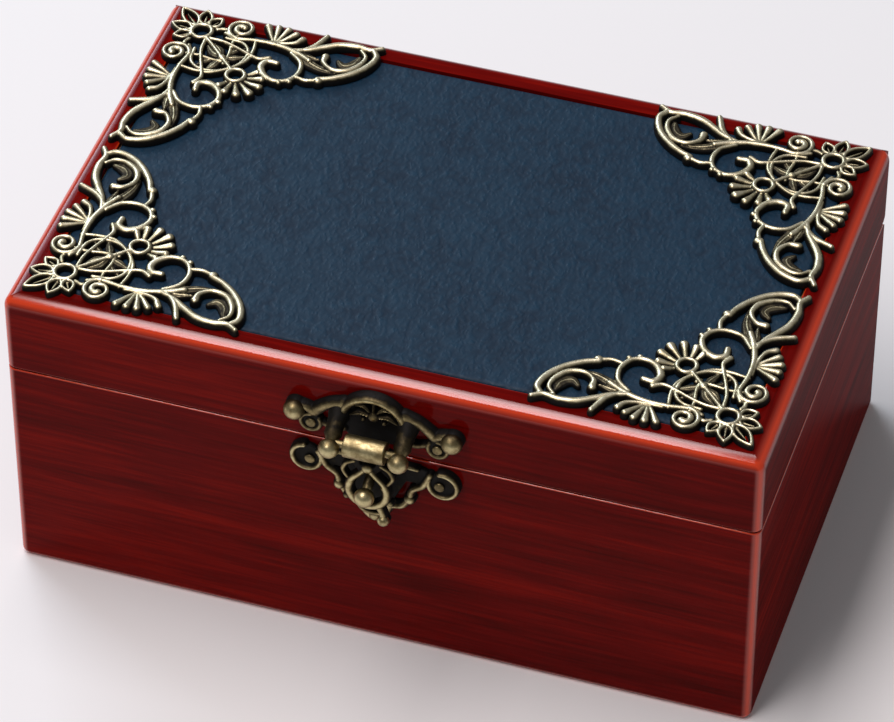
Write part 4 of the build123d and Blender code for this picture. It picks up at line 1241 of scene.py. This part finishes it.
        ends = [self.at(s * half, self.axis_out, self.axis_z) for s in HANDS]
        ball = arc((0, 1.3), 1.3, -90, 180, 15)
        solids = [
            self.stud(body, *ends, [0.0], [0.84], 40),
            self.stud(ball, self.at(3.2, 4.2, 39.5), self.at(3.2, 7.0, 39.5), [0.0], [0.92], 24),
        ]
        piece = self.cast("hasp_hanging_flap", Relief(strands, 0.1, 5.15, 4.3, 6.6), solids)
        return attach(piece, "hasp_flap", "hasp")

    def keeper(self) -> Piece:
        """The plate on the case: scrolled ends, nails, a leafy tail and the sloping post.

        Returns:
            The plate with its post.
        """
        tail = [(-3.4, 40.2), (-2.0, 37.0), (0.0, 35.6), (2.0, 37.0), (3.4, 40.2)]
        strands = [
            bar((-9.6, 49.2), (9.6, 49.2), (2.2,), 1.0),
            bar((0.0, 48.0), (0.0, 40.6), (7.0, 5.4, 3.6), 1.0),
            stem([(-9.0, 51.2), (0.0, 51.6), (9.0, 51.2)], (0.6,), (1.7,)),
            stem(tail, (1.0, 0.9, 1.0, 0.9, 1.0), (1.9,)),
            boss(0.0, 36.2, 1.5, 2.3),
        ]
        outer = [(11.6, 50.4), (10.2, 47.2), (8.0, 45.4), (7.4, 43.0)]
        lower = [(7.0, 42.2), (5.6, 40.4), (3.2, 39.6), (1.8, 37.2)]
        for s in HANDS:
            strands += [
                coil((s * 14.2, 48.3), 100, -s * 300, (3.2, 2.9), (0.7, 0.6), (2.1, 1.8)),
                disc(s * 14.2, 48.3, 3.0, 1.1),
                stem(outer, (0.8, 0.9, 0.8, 0.9), (1.9,), hand=s),
                boss(s * 7.4, 42.8, 1.35, 2.4),
                stem(lower, (0.8, 0.9, 0.8, 0.6), (1.9, 1.7), hand=s),
            ]
        start, end = self.at(0.0, 0.4, 50.3), self.at(0.0, 8.0, 46.9)
        length = float(np.linalg.norm(np.subtract(end, start)))
        head = arc((0, length - 0.15), (2.1, 2.0), -90, 180, 16)[2:-1]
        shank = [[0, 0], [1.7, 0], [1.3, 1.0], [1.1, 2.4], [1.1, 5.6]]
        profile = np.vstack([shank, head, [0, length + 1.85]])
        post = self.stud(profile, start, end, [0.0, 5.0, 6.4, length], [0.2, 0.4, 0.8, 1.0])
        piece = self.cast("hasp_scrolled_keeper", Relief(strands, edge=0.75, top=2.4), [post])
        return attach(piece, "keeper_plate", "case")

    def nails(self) -> list[Piece]:
        """The four escutcheon nails with slotless domed heads.

        Returns:
            The pair in the lid and the pair in the case.
        """
        head = arc((0, 7.5), (1.1, 0.42), 0, 90, 7)
        profile = np.vstack([[0, 0], [0.15, 0.4], [0.6, 1.4], [0.6, 7.35], [1.1, 7.4], head])
        pieces = []
        pairs = ("hasp_upper_nails", "lid", 13.2, 57.9), ("keeper_nails", "case", 13.6, 47.9)
        for node, body, x, z in pairs:
            pair = [turned(profile, self.at(s * x, -6.0, z), self.at(s * x, 2.0, z), 20) for s in HANDS]
            shape = gather(*pair)
            piece = make_piece(f"{node}_domed", shape, HASP_BRASS, np.full(len(shape[0]), 0.7), sharp=35)
            pieces.append(attach(piece, node, body))
        return pieces

    def build(self) -> list[Piece]:
        """All the hasp's pieces."""
        return [self.upper_plate(), self.pin(), self.flap(), self.keeper(), *self.nails()]


# The case and the lid.


@dataclass
class MitredFrame:
    """Lacquered boards of a four-sided frame; the back one keeps its mortised solid.

    A profile of inset and height is carried round the box's outline. At a corner a point is the
    corner arc's centre, plus what is left of the arc's radius along the arc's direction, or less
    what the inset passes the radius by along the diagonal, so that boards meet on the mitre.

    The lid can turn back because both back edges are planed off from the hinge line. Behind that
    line a height is held to a plane that falls away from the parting line: below it where planed
    is -1, above it where planed is 1.
    """

    body: str
    kind: str
    planed: int
    width: float = 158.0
    depth: float = 100.6
    corner: float = 2.1
    steps: int = 8
    hinge_line: float = 47.3
    parting: float = 53.0
    planing: float = 48.5
    wall: float = 8.5
    bevel: float = 0.4

    def profile(self) -> Array:
        """The section of a board: (n, 2) inset from the outer face and height."""
        raise NotImplementedError

    def outline(self, side: Side) -> tuple[Array, Array, Array]:
        """Centres, directions and diagonals along one side.

        Args:
            side: which side.

        Returns:
            Three (n, 1, 2) arrays.
        """
        half = np.array([self.width, self.depth]) / 2 - self.corner
        signs = np.array([(-1, -1), (1, -1), (1, 1), (-1, 1)], float)[[side.value, (side.value + 1) % 4]]
        turn = 225 + 90 * side.value
        directions = np.vstack([arc((0, 0), 1, turn + 45 * k, 45, self.steps) for k in (0, 1)])
        diagonals = np.repeat(signs, self.steps, axis=0)
        return (diagonals * half)[:, None], directions[:, None], diagonals[:, None]

    def sweep(self, side: Side) -> Shape:
        """Carry the profile along one side.

        Args:
            side: which side.

        Returns:
            Points and faces, closed at the mitres.
        """
        profile = self.profile()
        centres, directions, diagonals = self.outline(side)
        left = self.corner - profile[None, :, 0:1]
        flat = centres + np.maximum(left, 0) * directions - np.maximum(-left, 0) * diagonals
        if side is not Side.FRONT:
            station = flat[self.steps - (side is Side.LEFT)].copy()
            station[:, 1] = np.minimum(station[:, 1], self.hinge_line)
            flat = np.insert(flat, self.steps, station, axis=0)
        points = raised(flat, profile[:, 1])
        if side is not Side.FRONT:
            fall = np.maximum(points[..., 1] - self.hinge_line, 0) * np.tan(np.radians(self.planing))
            plane = self.planed * self.parting + fall
            points[..., 2] = self.planed * np.maximum(self.planed * points[..., 2], plane)
        rows, count = points.shape[:2]
        ends = [list(range(count))[::-1], list(range((rows - 1) * count, rows * count))]
        return points.reshape(-1, 3), grid_faces(rows, count, close_columns=True).tolist() + ends

    def build(self) -> list[Piece]:
        """The front, right and left boards.

        Returns:
            The three pieces.
        """
        pieces = []
        for side in (Side.FRONT, Side.RIGHT, Side.LEFT):
            name = f"{side.name.lower()}_{self.kind}"
            piece = make_piece(f"lacquered_{name}", self.sweep(side), WOOD[side], sharp=40)
            pieces.append(attach(piece, f"{self.body}_{name}", self.body))
        return pieces


@dataclass
class WoodenCase(MitredFrame):
    """The boards below the parting line."""

    body: str = "case"
    kind: str = "board"
    planed: int = -1
    rim: float = 52.85
    foot_round: float = 1.5
    rebate: float = 4.0
    panel: float = 5.0

    def profile(self) -> Array:
        """The section of a board: rounded foot, eased rim, and the rebate for the underside.

        Returns:
            (n, 2) inset and height.
        """
        foot = arc((self.foot_round, self.foot_round), self.foot_round, 270, -90, 9)
        rim = arc((self.bevel, self.rim - self.bevel), self.bevel, 180, -90, 6)
        support = [(0.0, self.foot_round + 0.2), (0.0, self.rim - self.bevel - 0.2)]
        inner = [(3.0, self.rim), (self.wall - 0.3, self.rim), (self.wall, self.rim - 0.3)]
        step = self.wall - self.rebate
        rebate = [(self.wall, self.panel), (step, self.panel), (step, 0.0)]
        return np.vstack([foot, support, rim, inner, rebate])


@dataclass
class WoodenLid(MitredFrame):
    """The rails above the parting line."""

    body: str = "lid"
    kind: str = "rail"
    planed: int = 1
    rim: float = 53.15
    top: float = 71.8
    round_over: float = 3.0
    well: float = 5.8
    well_floor: float = 66.6
    inner_round: float = 0.5

    def profile(self) -> Array:
        """The section of a rail: eased rim, round-over, soft inner edge and the well for the panel.

        Returns:
            (n, 2) inset and height.
        """
        rim = arc((self.bevel, self.rim + self.bevel), self.bevel, 270, -90, 6)
        over = arc((self.round_over, self.top - self.round_over), self.round_over, 180, -90, 15)
        lip = arc((self.well - self.inner_round, self.top - self.inner_round), self.inner_round, 90, -90, 6)
        inner = [(self.well, self.well_floor), (self.wall, self.well_floor)]
        inner += [(self.wall, self.rim), (3.0, self.rim)]
        support = [(0.0, self.rim + self.bevel + 0.2), (0.0, self.top - self.round_over - 0.2)]
        level = [(self.round_over + 0.2, self.top), (self.well - self.inner_round - 0.2, self.top)]
        return np.vstack([rim, support, over, level, lip, inner])


@dataclass
class WrappedPanel:
    """A flat panel covered in leather or velvet, its edge turned over in a quarter circle."""

    name: str
    node: str
    slot: str
    finish: Finish
    half_x: float
    half_y: float
    back: float
    face: float
    roll: float = 0.9
    puff: float = 0.03
    flatness: float = 0.75
    waves: Pair = (7.3, 6.1)
    cell: float = 1.0

    def build(self) -> Piece:
        """A grid whose height falls away in a quarter circle at its edges, with a slow unevenness.

        Returns:
            The piece.
        """
        x, y = np.meshgrid(self.lines(self.half_x), self.lines(self.half_y), indexing="ij")
        inside = np.minimum(self.half_x - np.abs(x), self.half_y - np.abs(y))
        t = np.clip(1 - inside / self.roll, 0, 1)
        wave = np.sin(x / self.waves[0] + 1.1) * np.sin(y / self.waves[1] + 0.4) - 1
        sag = self.puff * wave * np.clip(inside / 6, 0, 1)
        drop = self.flatness * self.roll * (1 - np.sqrt(1 - t**2)) - sag
        z = self.face - np.sign(self.face - self.back) * drop
        upper = np.stack([x, y, z], -1).reshape(-1, 3)
        index = np.arange(x.size).reshape(x.shape)
        ring = np.r_[index[:, 0], index[-1, 1:], index[-2::-1, -1], index[0, -2:0:-1]]
        under = upper[ring].copy()
        under[:, 2] = self.back
        bottom = len(upper) + np.arange(len(ring))
        walls = np.stack([ring, np.roll(ring, -1), np.roll(bottom, -1), bottom], 1)
        faces = grid_faces(*x.shape).tolist() + walls.tolist() + [bottom.tolist()]
        piece = make_piece(self.name, (np.vstack([upper, under]), faces), self.finish)
        return attach(piece, self.node, "lid")

    def lines(self, half: float) -> Array:
        """Grid lines, evenly spaced inside and closer over the rolled edge.

        Args:
            half: half the panel's size.

        Returns:
            Places from -half to half.
        """
        edge = self.roll * (1 - np.cos(np.linspace(0, np.pi / 2, 7)))[:-1]
        inner = np.linspace(-half + self.roll, half - self.roll, int(2 * half / self.cell))
        return np.r_[-half + edge, inner, half - edge[::-1]]


# The tray and the underside.


def loop_round(low: Pair, high: Pair, radius: float, cell: float) -> tuple[Array, Array]:
    """Points round a rectangle with rounded corners, anticlockwise.

    Args:
        low: its least x and y.
        high: its greatest x and y.
        radius: of the corners.
        cell: spacing along the straight parts.

    Returns:
        (n, 2) points and (n, 2) outward directions.
    """
    (x0, y0), (x1, y1) = (np.array(low) + radius), (np.array(high) - radius)
    centres = np.array([(x1, y0), (x1, y1), (x0, y1), (x0, y0)])
    points, outward = [], []
    for k in range(4):
        ring = arc((0, 0), 1, 90 * (k - 1), 90, 7)
        start = centres[k] + radius * ring[-1]
        end = centres[(k + 1) % 4] + radius * ring[-1]
        count = max(int(np.linalg.norm(end - start) / cell), 2)
        t = np.arange(1, count)[:, None] / count
        points += [centres[k] + radius * ring, start + t * (end - start)]
        outward += [ring, np.tile(ring[-1], (count - 1, 1))]
    return np.vstack(points), np.vstack(outward)


@dataclass
class VelvetTray:
    """The jewellery side: velvet drawn over the walls and a padded cushion on the floor."""

    left: float = -22.5
    right: float = 70.5
    half: float = 41.8
    floor: float = 17.0
    top: float = 46.85
    cloth: float = 0.88
    pucker: float = 6.4
    pucker_depth: float = 0.10
    gap: float = 1.5
    columns: int = 160
    rows: int = 41
    squareness: float = 2 / 16
    drawn_in: float = 0.005
    seam: float = 2.4
    crown: float = 3.5
    belly: float = 2.0
    room: float = 1.05
    voxel: float = 2.2
    cap: float = 1.2
    air: float = 4.0
    frames: int = 20

    def lining(self) -> Piece:
        """The wall lining: a thin closed sleeve with a rolled top edge and puckers that fade downwards.

        A profile of inset and height is carried round the tray, and its inner side is pushed in and
        out by a sine of the distance along the wall, which grows with the square of the height.

        Returns:
            The piece.
        """
        loop, outward = loop_round((self.left, -self.half), (self.right, self.half), 1.2, 0.9)
        heights = np.linspace(self.top - 0.5, self.floor, 15)
        bend = arc((0.5, self.top - 0.5), 0.45, 180, -180, 9)
        profile = np.vstack([[0.05, self.floor], bend, np.stack([np.full(15, self.cloth), heights], 1)])
        run = np.r_[0, np.cumsum(np.hypot(*np.diff(loop, axis=0).T))]
        share = np.clip((profile[:, 1] - self.floor) / (self.top - self.floor), 0, 1)
        wave = np.sin(run * 2 * np.pi / self.pucker + 1.6 * np.sin(run / 9.0))[:, None] * share**2
        inset = profile[:, 0] + self.pucker_depth * wave * (profile[:, 0] > 0.5)
        flat = loop[:, None] - inset[:, :, None] * outward[:, None]
        faces = grid_faces(*inset.shape, close_rows=True, close_columns=True)
        shape = (raised(flat, profile[:, 1]).reshape(-1, 3), faces)
        piece = make_piece("puckered_velvet_wall_lining", shape, VELVET)
        return attach(piece, "velvet_wall_lining", "case")

    def cushion(self) -> Piece:
        """The cushion: a crowned pillow whose sides are drawn in, blown up by a cloth simulation.

        The pillow's outline is a superellipse, its half-height falls to the seam as a power of the
        distance from the middle, and its straight sides pull in by a cosine between the corners.

        Returns:
            The piece.
        """
        around = np.linspace(0, 2 * np.pi, self.columns, endpoint=False)[None, :]
        up = np.linspace(-np.pi / 2, np.pi / 2, self.rows)[:, None]
        cx, cy = (np.sign(way) * np.abs(way) ** self.squareness for way in (np.cos(around), np.sin(around)))
        drawn_x, drawn_y = (1 - self.drawn_in * np.cos(np.clip(way, -1, 1) * np.pi / 2) for way in (cy, cx))
        reach_x = (self.right - self.left) / 2 - self.gap + 0.35
        reach_y = self.half - self.gap + 0.35
        x = (self.left + self.right) / 2 + reach_x * np.cos(up) ** 0.32 * cx * drawn_x
        y = reach_y * np.cos(up) ** 0.32 * cy * drawn_y
        rise = np.abs(np.sin(up))
        level = np.where(up > 0, self.crown * rise**0.8, -self.belly * rise**0.5)
        z = self.floor + self.seam + level * np.ones_like(around)
        faces = grid_faces(self.rows, self.columns, close_columns=True)
        shape = (np.stack([x, y, z], -1).reshape(-1, 3), faces)
        piece = make_piece("velvet_tray_cushion", shape, VELVET)
        self.swell(piece)
        return attach(piece, "tray_cushion", "case")

    def swell(self, piece: Piece) -> None:
        """Blow the pillow up with air pressure, and hold each point within a cap of its start.

        Args:
            piece: the pillow, changed in place.
        """
        remesh = piece.modifiers.new("even_mesh", "REMESH")
        remesh.mode = "VOXEL"
        remesh.voxel_size = self.voxel * MM
        self.settle(piece)
        start = self.places(piece)
        cloth = piece.modifiers.new("air", "CLOTH")
        cloth.settings.use_pressure = True
        cloth.settings.uniform_pressure_force = self.air
        cloth.settings.effector_weights.gravity = 0.0
        cloth.settings.quality = 6
        cloth.point_cache.frame_start = 1
        cloth.point_cache.frame_end = self.frames
        for step in range(1, self.frames + 1):
            bpy.context.scene.frame_set(step)
        self.settle(piece)
        bpy.context.scene.frame_set(1)
        shift = self.places(piece) - start
        far = np.linalg.norm(shift, axis=1, keepdims=True)
        held = start + shift * np.minimum(1.0, self.cap * MM / np.maximum(far, 1e-9))
        low = np.array([self.left + self.room, self.room - self.half, self.floor + 0.02])
        high = np.array([self.right - self.room, self.half - self.room, self.floor + 7.1])
        held = np.clip(held, low * MM, high * MM).astype(np.float32)
        piece.data.vertices.foreach_set("co", held.ravel())
        piece.data.update()
        divide = piece.modifiers.new("smooth", "SUBSURF")
        divide.levels = divide.render_levels = 1
        self.settle(piece)
        piece.data.polygons.foreach_set("use_smooth", np.ones(len(piece.data.polygons), bool))

    @staticmethod
    def places(piece: Piece) -> Array:
        """A piece's points.

        Args:
            piece: the piece.

        Returns:
            (n, 3) places in metres.
        """
        flat = np.empty(len(piece.data.vertices) * 3, np.float32)
        piece.data.vertices.foreach_get("co", flat)
        return flat.reshape(-1, 3)

    @staticmethod
    def settle(piece: Piece) -> None:
        """Apply a piece's modifiers to its mesh.

        Args:
            piece: the piece, changed in place.
        """
        ready = piece.evaluated_get(bpy.context.evaluated_depsgraph_get())
        mesh = bpy.data.meshes.new_from_object(ready)
        piece.modifiers.clear()
        piece.data = mesh

    def build(self) -> list[Piece]:
        """The lining and the cushion."""
        return [self.lining(), self.cushion()]


@dataclass
class FeltSole:
    """The felt under the box, with a round hole at the key."""

    half_x: float = 74.2
    half_y: float = 45.5
    thick: float = 1.0
    hole: Pair = (-52.5, -15.0)
    hole_radius: float = 16.5

    def build(self) -> Piece:
        """A sheet between the hole and the outline, with rounded edges.

        Each point lies on the line from the hole's edge to the outline, both taken in the same
        direction from the hole's centre, and the section is a thin closed loop carried round it.

        Returns:
            The piece.
        """
        outline, _ = loop_round((-self.half_x, -self.half_y), (self.half_x, self.half_y), 1.0, 1.5)
        away = outline - np.array(self.hole)
        inner = np.array(self.hole) + self.hole_radius * away / np.linalg.norm(away, axis=1, keepdims=True)
        t = np.r_[0.0, 0.002, 0.01, np.linspace(0.1, 0.9, 9), 0.99, 0.998, 1.0]
        lift = np.r_[0.25, 0.42, 0.5, np.full(9, 0.5), 0.5, 0.42, 0.25] * self.thick
        share = np.r_[t, t[::-1]]
        flat = inner[:, None] + share[:, None] * (outline - inner)[:, None]
        faces = grid_faces(len(outline), len(share), close_rows=True, close_columns=True)
        shape = (raised(flat, self.thick / 2 + np.r_[lift, -lift[::-1]]).reshape(-1, 3), faces)
        return attach(make_piece("felt_sole_sheet", shape, FELT), "felt_sole", "case")


# The movement.


@dataclass
class Movement:
    """The parts of the movement that show their form most: housing, pinned drum and key."""

    axis_x: float = -52.5
    spring_y: float = -15.0
    plate: float = 21.6
    housing_low: float = 27.5
    housing_top: float = 39.4
    housing_radius: float = 9.5
    housing_wall: float = 1.2
    legs: Pair = (12.2, -9.6)
    drum_z: float = 30.43
    drum_start: float = -0.4
    drum_length: float = 19.0
    drum_radius: float = 6.5
    hub: float = 0.92
    notes: int = 18
    pins: int = 252
    pin_sides: int = 5
    pin_proud: float = 0.7
    pin_girth: Pair = (0.17, 0.12)
    key_z: float = 5.8
    key_bore: float = 1.92
    key_ring: Pair = (5.95, 3.0)

    def housing(self) -> Piece:
        """The cast spring housing: a turned cup with a rounded top, on two legs with flat arms.

        Returns:
            The piece.
        """
        r, height = self.housing_radius, self.housing_top - self.housing_low
        inner = r - self.housing_wall
        under = height - self.housing_wall
        foot = arc((r, 0.9), 0.5, -90, 180, 7)
        crown = arc((r - 1.6, height - 1.6), 1.6, 0, 90, 9)
        lip = [[3.4, height], [3.0, height], [2.1, height - 0.1]]
        inside = [[2.1, under], [inner - 0.6, under], [inner, under - 0.6], [inner, 0.0]]
        profile = np.vstack([[inner, 0.0], foot, crown, lip, inside])
        base = (self.axis_x, self.spring_y, self.housing_low)
        shapes = [turned(profile, base, (*base[:2], base[2] + 1.0), 64)]
        post = [[0, 0], [2.3, 0], [2.3, 0.8], [1.7, 1.3], [1.6, 5.6], [1.7, 6.2], [1.7, 7.6], [1.2, 7.9]]
        for side in HANDS:
            leg = np.array([self.axis_x + side * self.legs[0], self.spring_y + self.legs[1]])
            shapes.append(turned(np.array(post + [[0, 7.9]]), (*leg, self.plate), (*leg, self.plate + 1), 24))
            shapes.append(self.arm(leg))
        piece = make_piece("cast_spring_housing", gather(*shapes), GILT_ZINC, sharp=40)
        return attach(piece, "spring_housing", "case")

    def arm(self, leg: Array) -> Shape:
        """A flat arm from a leg to the cup: a rounded section carried along a straight line.

        Args:
            leg: the leg's x and y.

        Returns:
            Points and faces.
        """
        run = np.array([self.axis_x, self.spring_y]) - leg
        run /= np.linalg.norm(run)
        across = np.array([-run[1], run[0]])
        angle = np.linspace(0, 2 * np.pi, 24, endpoint=False)
        wide, tall = (np.sign(way) * np.abs(way) ** 0.35 for way in (np.cos(angle), np.sin(angle)))
        along = np.array([0.0, 0.02, 6.4, 6.42])
        size = np.array([0.02, 1.0, 1.0, 0.02])[:, None]
        flat = leg + along[:, None, None] * run + (size * 1.6 * wide)[:, :, None] * across
        points = raised(flat, self.housing_low + 1.0 + size * tall)
        return points.reshape(-1, 3), grid_faces(4, 24, close_columns=True)

    def drum(self) -> Piece:
        """The pinned drum: a turned tube with a bead at each end, and some 250 tune pins.

        Each pin is a five-sided taper whose place is a note's track along the drum and an angle
        drawn from a seeded random series.

        Returns:
            The piece.
        """
        r, length = self.drum_radius, self.drum_length
        hub = (self.hub, 0.5)
        end = np.array([hub, (r - 1.2, 0.5), (r - 1.0, 0.0), (r - 0.25, 0.0), (r, 0.25), (r, 0.8)])
        other = end[::-1] * (1, -1) + (0, length)
        profile = np.vstack([end, [r, length / 2], other, end[:1]])
        start = (self.axis_x, self.drum_start, self.drum_z)
        tube = turned(profile, start, (start[0], start[1] + 1, start[2]), 96)
        draw = np.random.default_rng(18)
        note = draw.integers(0, self.notes, self.pins)
        turn = draw.uniform(0, 2 * np.pi, self.pins)
        place = self.drum_start + (note + 0.5) * length / self.notes
        around = np.linspace(0, 2 * np.pi, self.pin_sides, endpoint=False)[None, None]
        reach = np.array([r - 0.1, r + self.pin_proud])[None, :, None]
        girth = np.array(self.pin_girth)[None, :, None]
        side = girth * np.cos(around)
        shift = girth * np.sin(around) + place[:, None, None]
        c, s = np.cos(turn)[:, None, None], np.sin(turn)[:, None, None]
        x = self.axis_x + c * reach - s * side
        z = self.drum_z + s * reach + c * side
        low = 2 * self.pin_sides * np.arange(self.pins)[:, None] + np.arange(self.pin_sides)
        high = low + self.pin_sides
        sides = np.stack([low, np.roll(low, -1, axis=1), np.roll(high, -1, axis=1), high], -1).reshape(-1, 4)
        points, faces = gather(tube, (np.stack([x, shift, z], -1).reshape(-1, 3), sides))
        caps = np.vstack([high, low]) + len(tube[0])
        shape = (points, faces.tolist() + caps.tolist())
        piece = make_piece("pinned_tune_drum", shape, TURNED_BRASS, sharp=40)
        return attach(piece, "pinned_cylinder", "cylinder")

    def key(self) -> Piece:
        """The butterfly key: two cast rings, the same on both faces, on a turned boss.

        Returns:
            The piece.
        """
        out, radius = self.key_ring
        strands = [
            bar((-3.6, 0.0), (3.6, 0.0), (1.3, 1.6, 1.3), 1.0, Section.ROUND),
            *(coil((side * out, 0.0), 0, 360, (radius, radius), (1.05,), (1.0,)) for side in HANDS),
            bar((0.0, -1.0), (0.0, 2.4), (2.2,), 1.0, Section.ROUND),
        ]
        points, faces, _ = Relief(strands, cell=0.16, edge=0.35, top=1.0, mirrored=True).surface()
        wings = points[:, [0, 2, 1]] + np.array([self.axis_x, self.spring_y, self.key_z])
        bore = self.key_bore
        outside = [[2.8, 0.0], [3.3, 0.4], [3.4, 0.9], [3.4, 4.2], [3.1, 5.0]]
        profile = np.vstack([[[bore, 1.4], [bore, 0.0]], outside, [[bore, 5.0], [bore, 1.4]]])
        low = (self.axis_x, self.spring_y, 6.6)
        shape = gather((wings, faces), turned(profile, low, (*low[:2], 7.6), 40))
        piece = make_piece("butterfly_winding_key", shape, ROLLED_BRASS, sharp=45)
        return attach(piece, "winding_key", "key")

    def build(self) -> list[Piece]:
        """The housing, the drum and the key."""
        return [self.housing(), self.drum(), self.key()]


# The solids that stay in view.

KEPT: dict[Finish, tuple[str, ...]] = {
    WOOD[Side.BACK]: ("case_back_board", "lid_back_rail"),
    SOFTWOOD_X: ("bottom_panel", "inner_floor", "cover_ledges", "lid_panel"),
    SOFTWOOD_Y: ("floor_batten_left", "floor_batten_right", "partition_board"),
    ACRYLIC: ("movement_cover",),
    MIRROR: ("lid_mirror",),
    ROLLED_BRASS: (
        "hinge_case_leaf_left", "hinge_case_leaf_right", "hinge_lid_leaf_left", "hinge_lid_leaf_right",
        "hinge_case_screws", "hinge_lid_screws", "stop_rod_guide",
    ),
    GILT_ZINC: ("bedplate", "cylinder_bearing", "governor_frame"),
    TURNED_BRASS: ("drive_gear", "cylinder_gear", "governor_first_wheel"),
    GROUND_STEEL: ("comb",),
    NYLON: ("governor_worm_wheel", "governor_fan"),
    BRIGHT_STEEL: (
        "hinge_pins", "movement_screws", "comb_screws", "mainspring", "winding_arbor",
        "cylinder_arbor", "cylinder_pinion", "governor_worm", "stop_rod",
    ),
}


def dress_kept() -> None:
    """Give the solids that stay in view their finish."""
    for finish, names in KEPT.items():
        for name in names:
            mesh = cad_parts[name].data
            mesh.materials.clear()
            mesh.materials.append(finish.build())


# Camera, light and floor.


@dataclass(frozen=True)
class Lamp:
    """A soft rectangular lamp, turned to the middle of the lid."""

    name: str
    place: Triple
    size: Pair
    power: float
    tint: str

    def hang(self) -> None:
        """Hang the lamp; one that is nearly overhead keeps its sides along the frame's axes."""
        data = bpy.data.lights.new(self.name, "AREA")
        data.shape = "RECTANGLE"
        data.size, data.size_y = self.size
        data.energy = self.power
        data.color = linear(self.tint)[:3]
        lamp = bpy.data.objects.new(self.name, data)
        behind = (Vector(self.place) - Vector((0, 0, 0.05))).normalized()
        level = Vector((1, 0, 0)) if behind.z > 0.8 else Vector((0, 0, 1)).cross(behind)
        level = (level - level.dot(behind) * behind).normalized()
        turn = Matrix((level, behind.cross(level), behind)).transposed().to_4x4()
        lamp.matrix_world = Matrix.Translation(self.place) @ turn
        bpy.context.scene.collection.objects.link(lamp)


@dataclass
class Studio:
    """The photograph's camera, a soft window behind and a soft box over the front, on pale paper."""

    place: Triple = (0.23858, -0.74659, 0.75358)
    right: Triple = (0.951739, 0.306908, 0.000975)
    up: Triple = (-0.208404, 0.643936, 0.736148)
    back: Triple = (0.225302, -0.700824, 0.67682)
    lens: float = 205.8
    surround: float = 0.245
    paper: float = 4000.0
    lamps: tuple[Lamp, ...] = (
        Lamp("window_left_behind", (-0.95, 0.85, 0.80), (0.8, 0.7), 9.0, "dcecff"),
        Lamp("soft_box_overhead", (-0.29, -0.20, 1.25), (0.36, 1.50), 15.0, "fff5f7"),
    )

    def camera(self) -> None:
        """Stand the camera where the photograph was taken from."""
        data = bpy.data.cameras.new("photograph_camera")
        data.lens = self.lens
        data.sensor_width = 36.0
        data.sensor_fit = "HORIZONTAL"
        data.clip_start = 0.05
        camera = bpy.data.objects.new("photograph_camera", data)
        turn = Matrix((self.right, self.up, self.back)).transposed().to_4x4()
        camera.matrix_world = Matrix.Translation(self.place) @ turn
        bpy.context.scene.collection.objects.link(camera)
        bpy.context.scene.camera = camera

    def sky(self) -> None:
        """Add an even pale surround."""
        world = bpy.data.worlds.new("studio_surround")
        bpy.context.scene.world = world
        world.use_nodes = True
        world.node_tree.nodes.clear()
        paint = Painter(world.node_tree)
        glow = paint.add("Background", values={"Color": linear("f2f5fa"), "Strength": self.surround})
        paint.add("OutputWorld", {"Surface": (glow, 0)})

    def floor(self) -> None:
        """Lay the sheet of paper that the box stands on."""
        line = np.linspace(-self.paper, self.paper, 31)
        x, y = np.meshgrid(line, line, indexing="ij")
        points = np.stack([x, y, np.full_like(x, -0.02)], -1).reshape(-1, 3)
        make_piece("studio_floor", (points, grid_faces(31, 31)), PAPER, weld=False)

    def build(self) -> None:
        """Set the whole stage."""
        bpy.context.scene.view_settings.view_transform = "Standard"
        self.camera()
        for lamp in self.lamps:
            lamp.hang()
        self.sky()
        self.floor()


def main() -> None:
    """Build the box sub-assembly by sub-assembly and report what was made."""
    logging.basicConfig(level=logging.INFO, format="%(name)s: %(message)s")
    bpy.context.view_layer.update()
    Studio().build()
    dress_kept()
    leather = WrappedPanel(
        "pebbled_leather_panel", "leather_inlay", "leather", LEATHER,
        half_x=72.85, half_y=44.15, back=70.6, face=71.6,
    )
    lining = WrappedPanel(
        "velvet_lid_lining", "lid_lining", "velvet", VELVET,
        half_x=70.2, half_y=41.5, back=66.6, face=65.6, roll=0.6, puff=0.06,
    )
    box = WoodenCase(), WoodenLid(), leather, lining, CornerOrnaments(), DropHasp()
    for assembly in (*box, VelvetTray(), FeltSole(), Movement()):
        made = assembly.build()
        for piece in made if isinstance(made, list) else [made]:
            LOG.info("%s: %s, %d faces", type(assembly).__name__, piece.name, len(piece.data.polygons))
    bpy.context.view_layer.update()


if __name__ == "__main__":
    main()
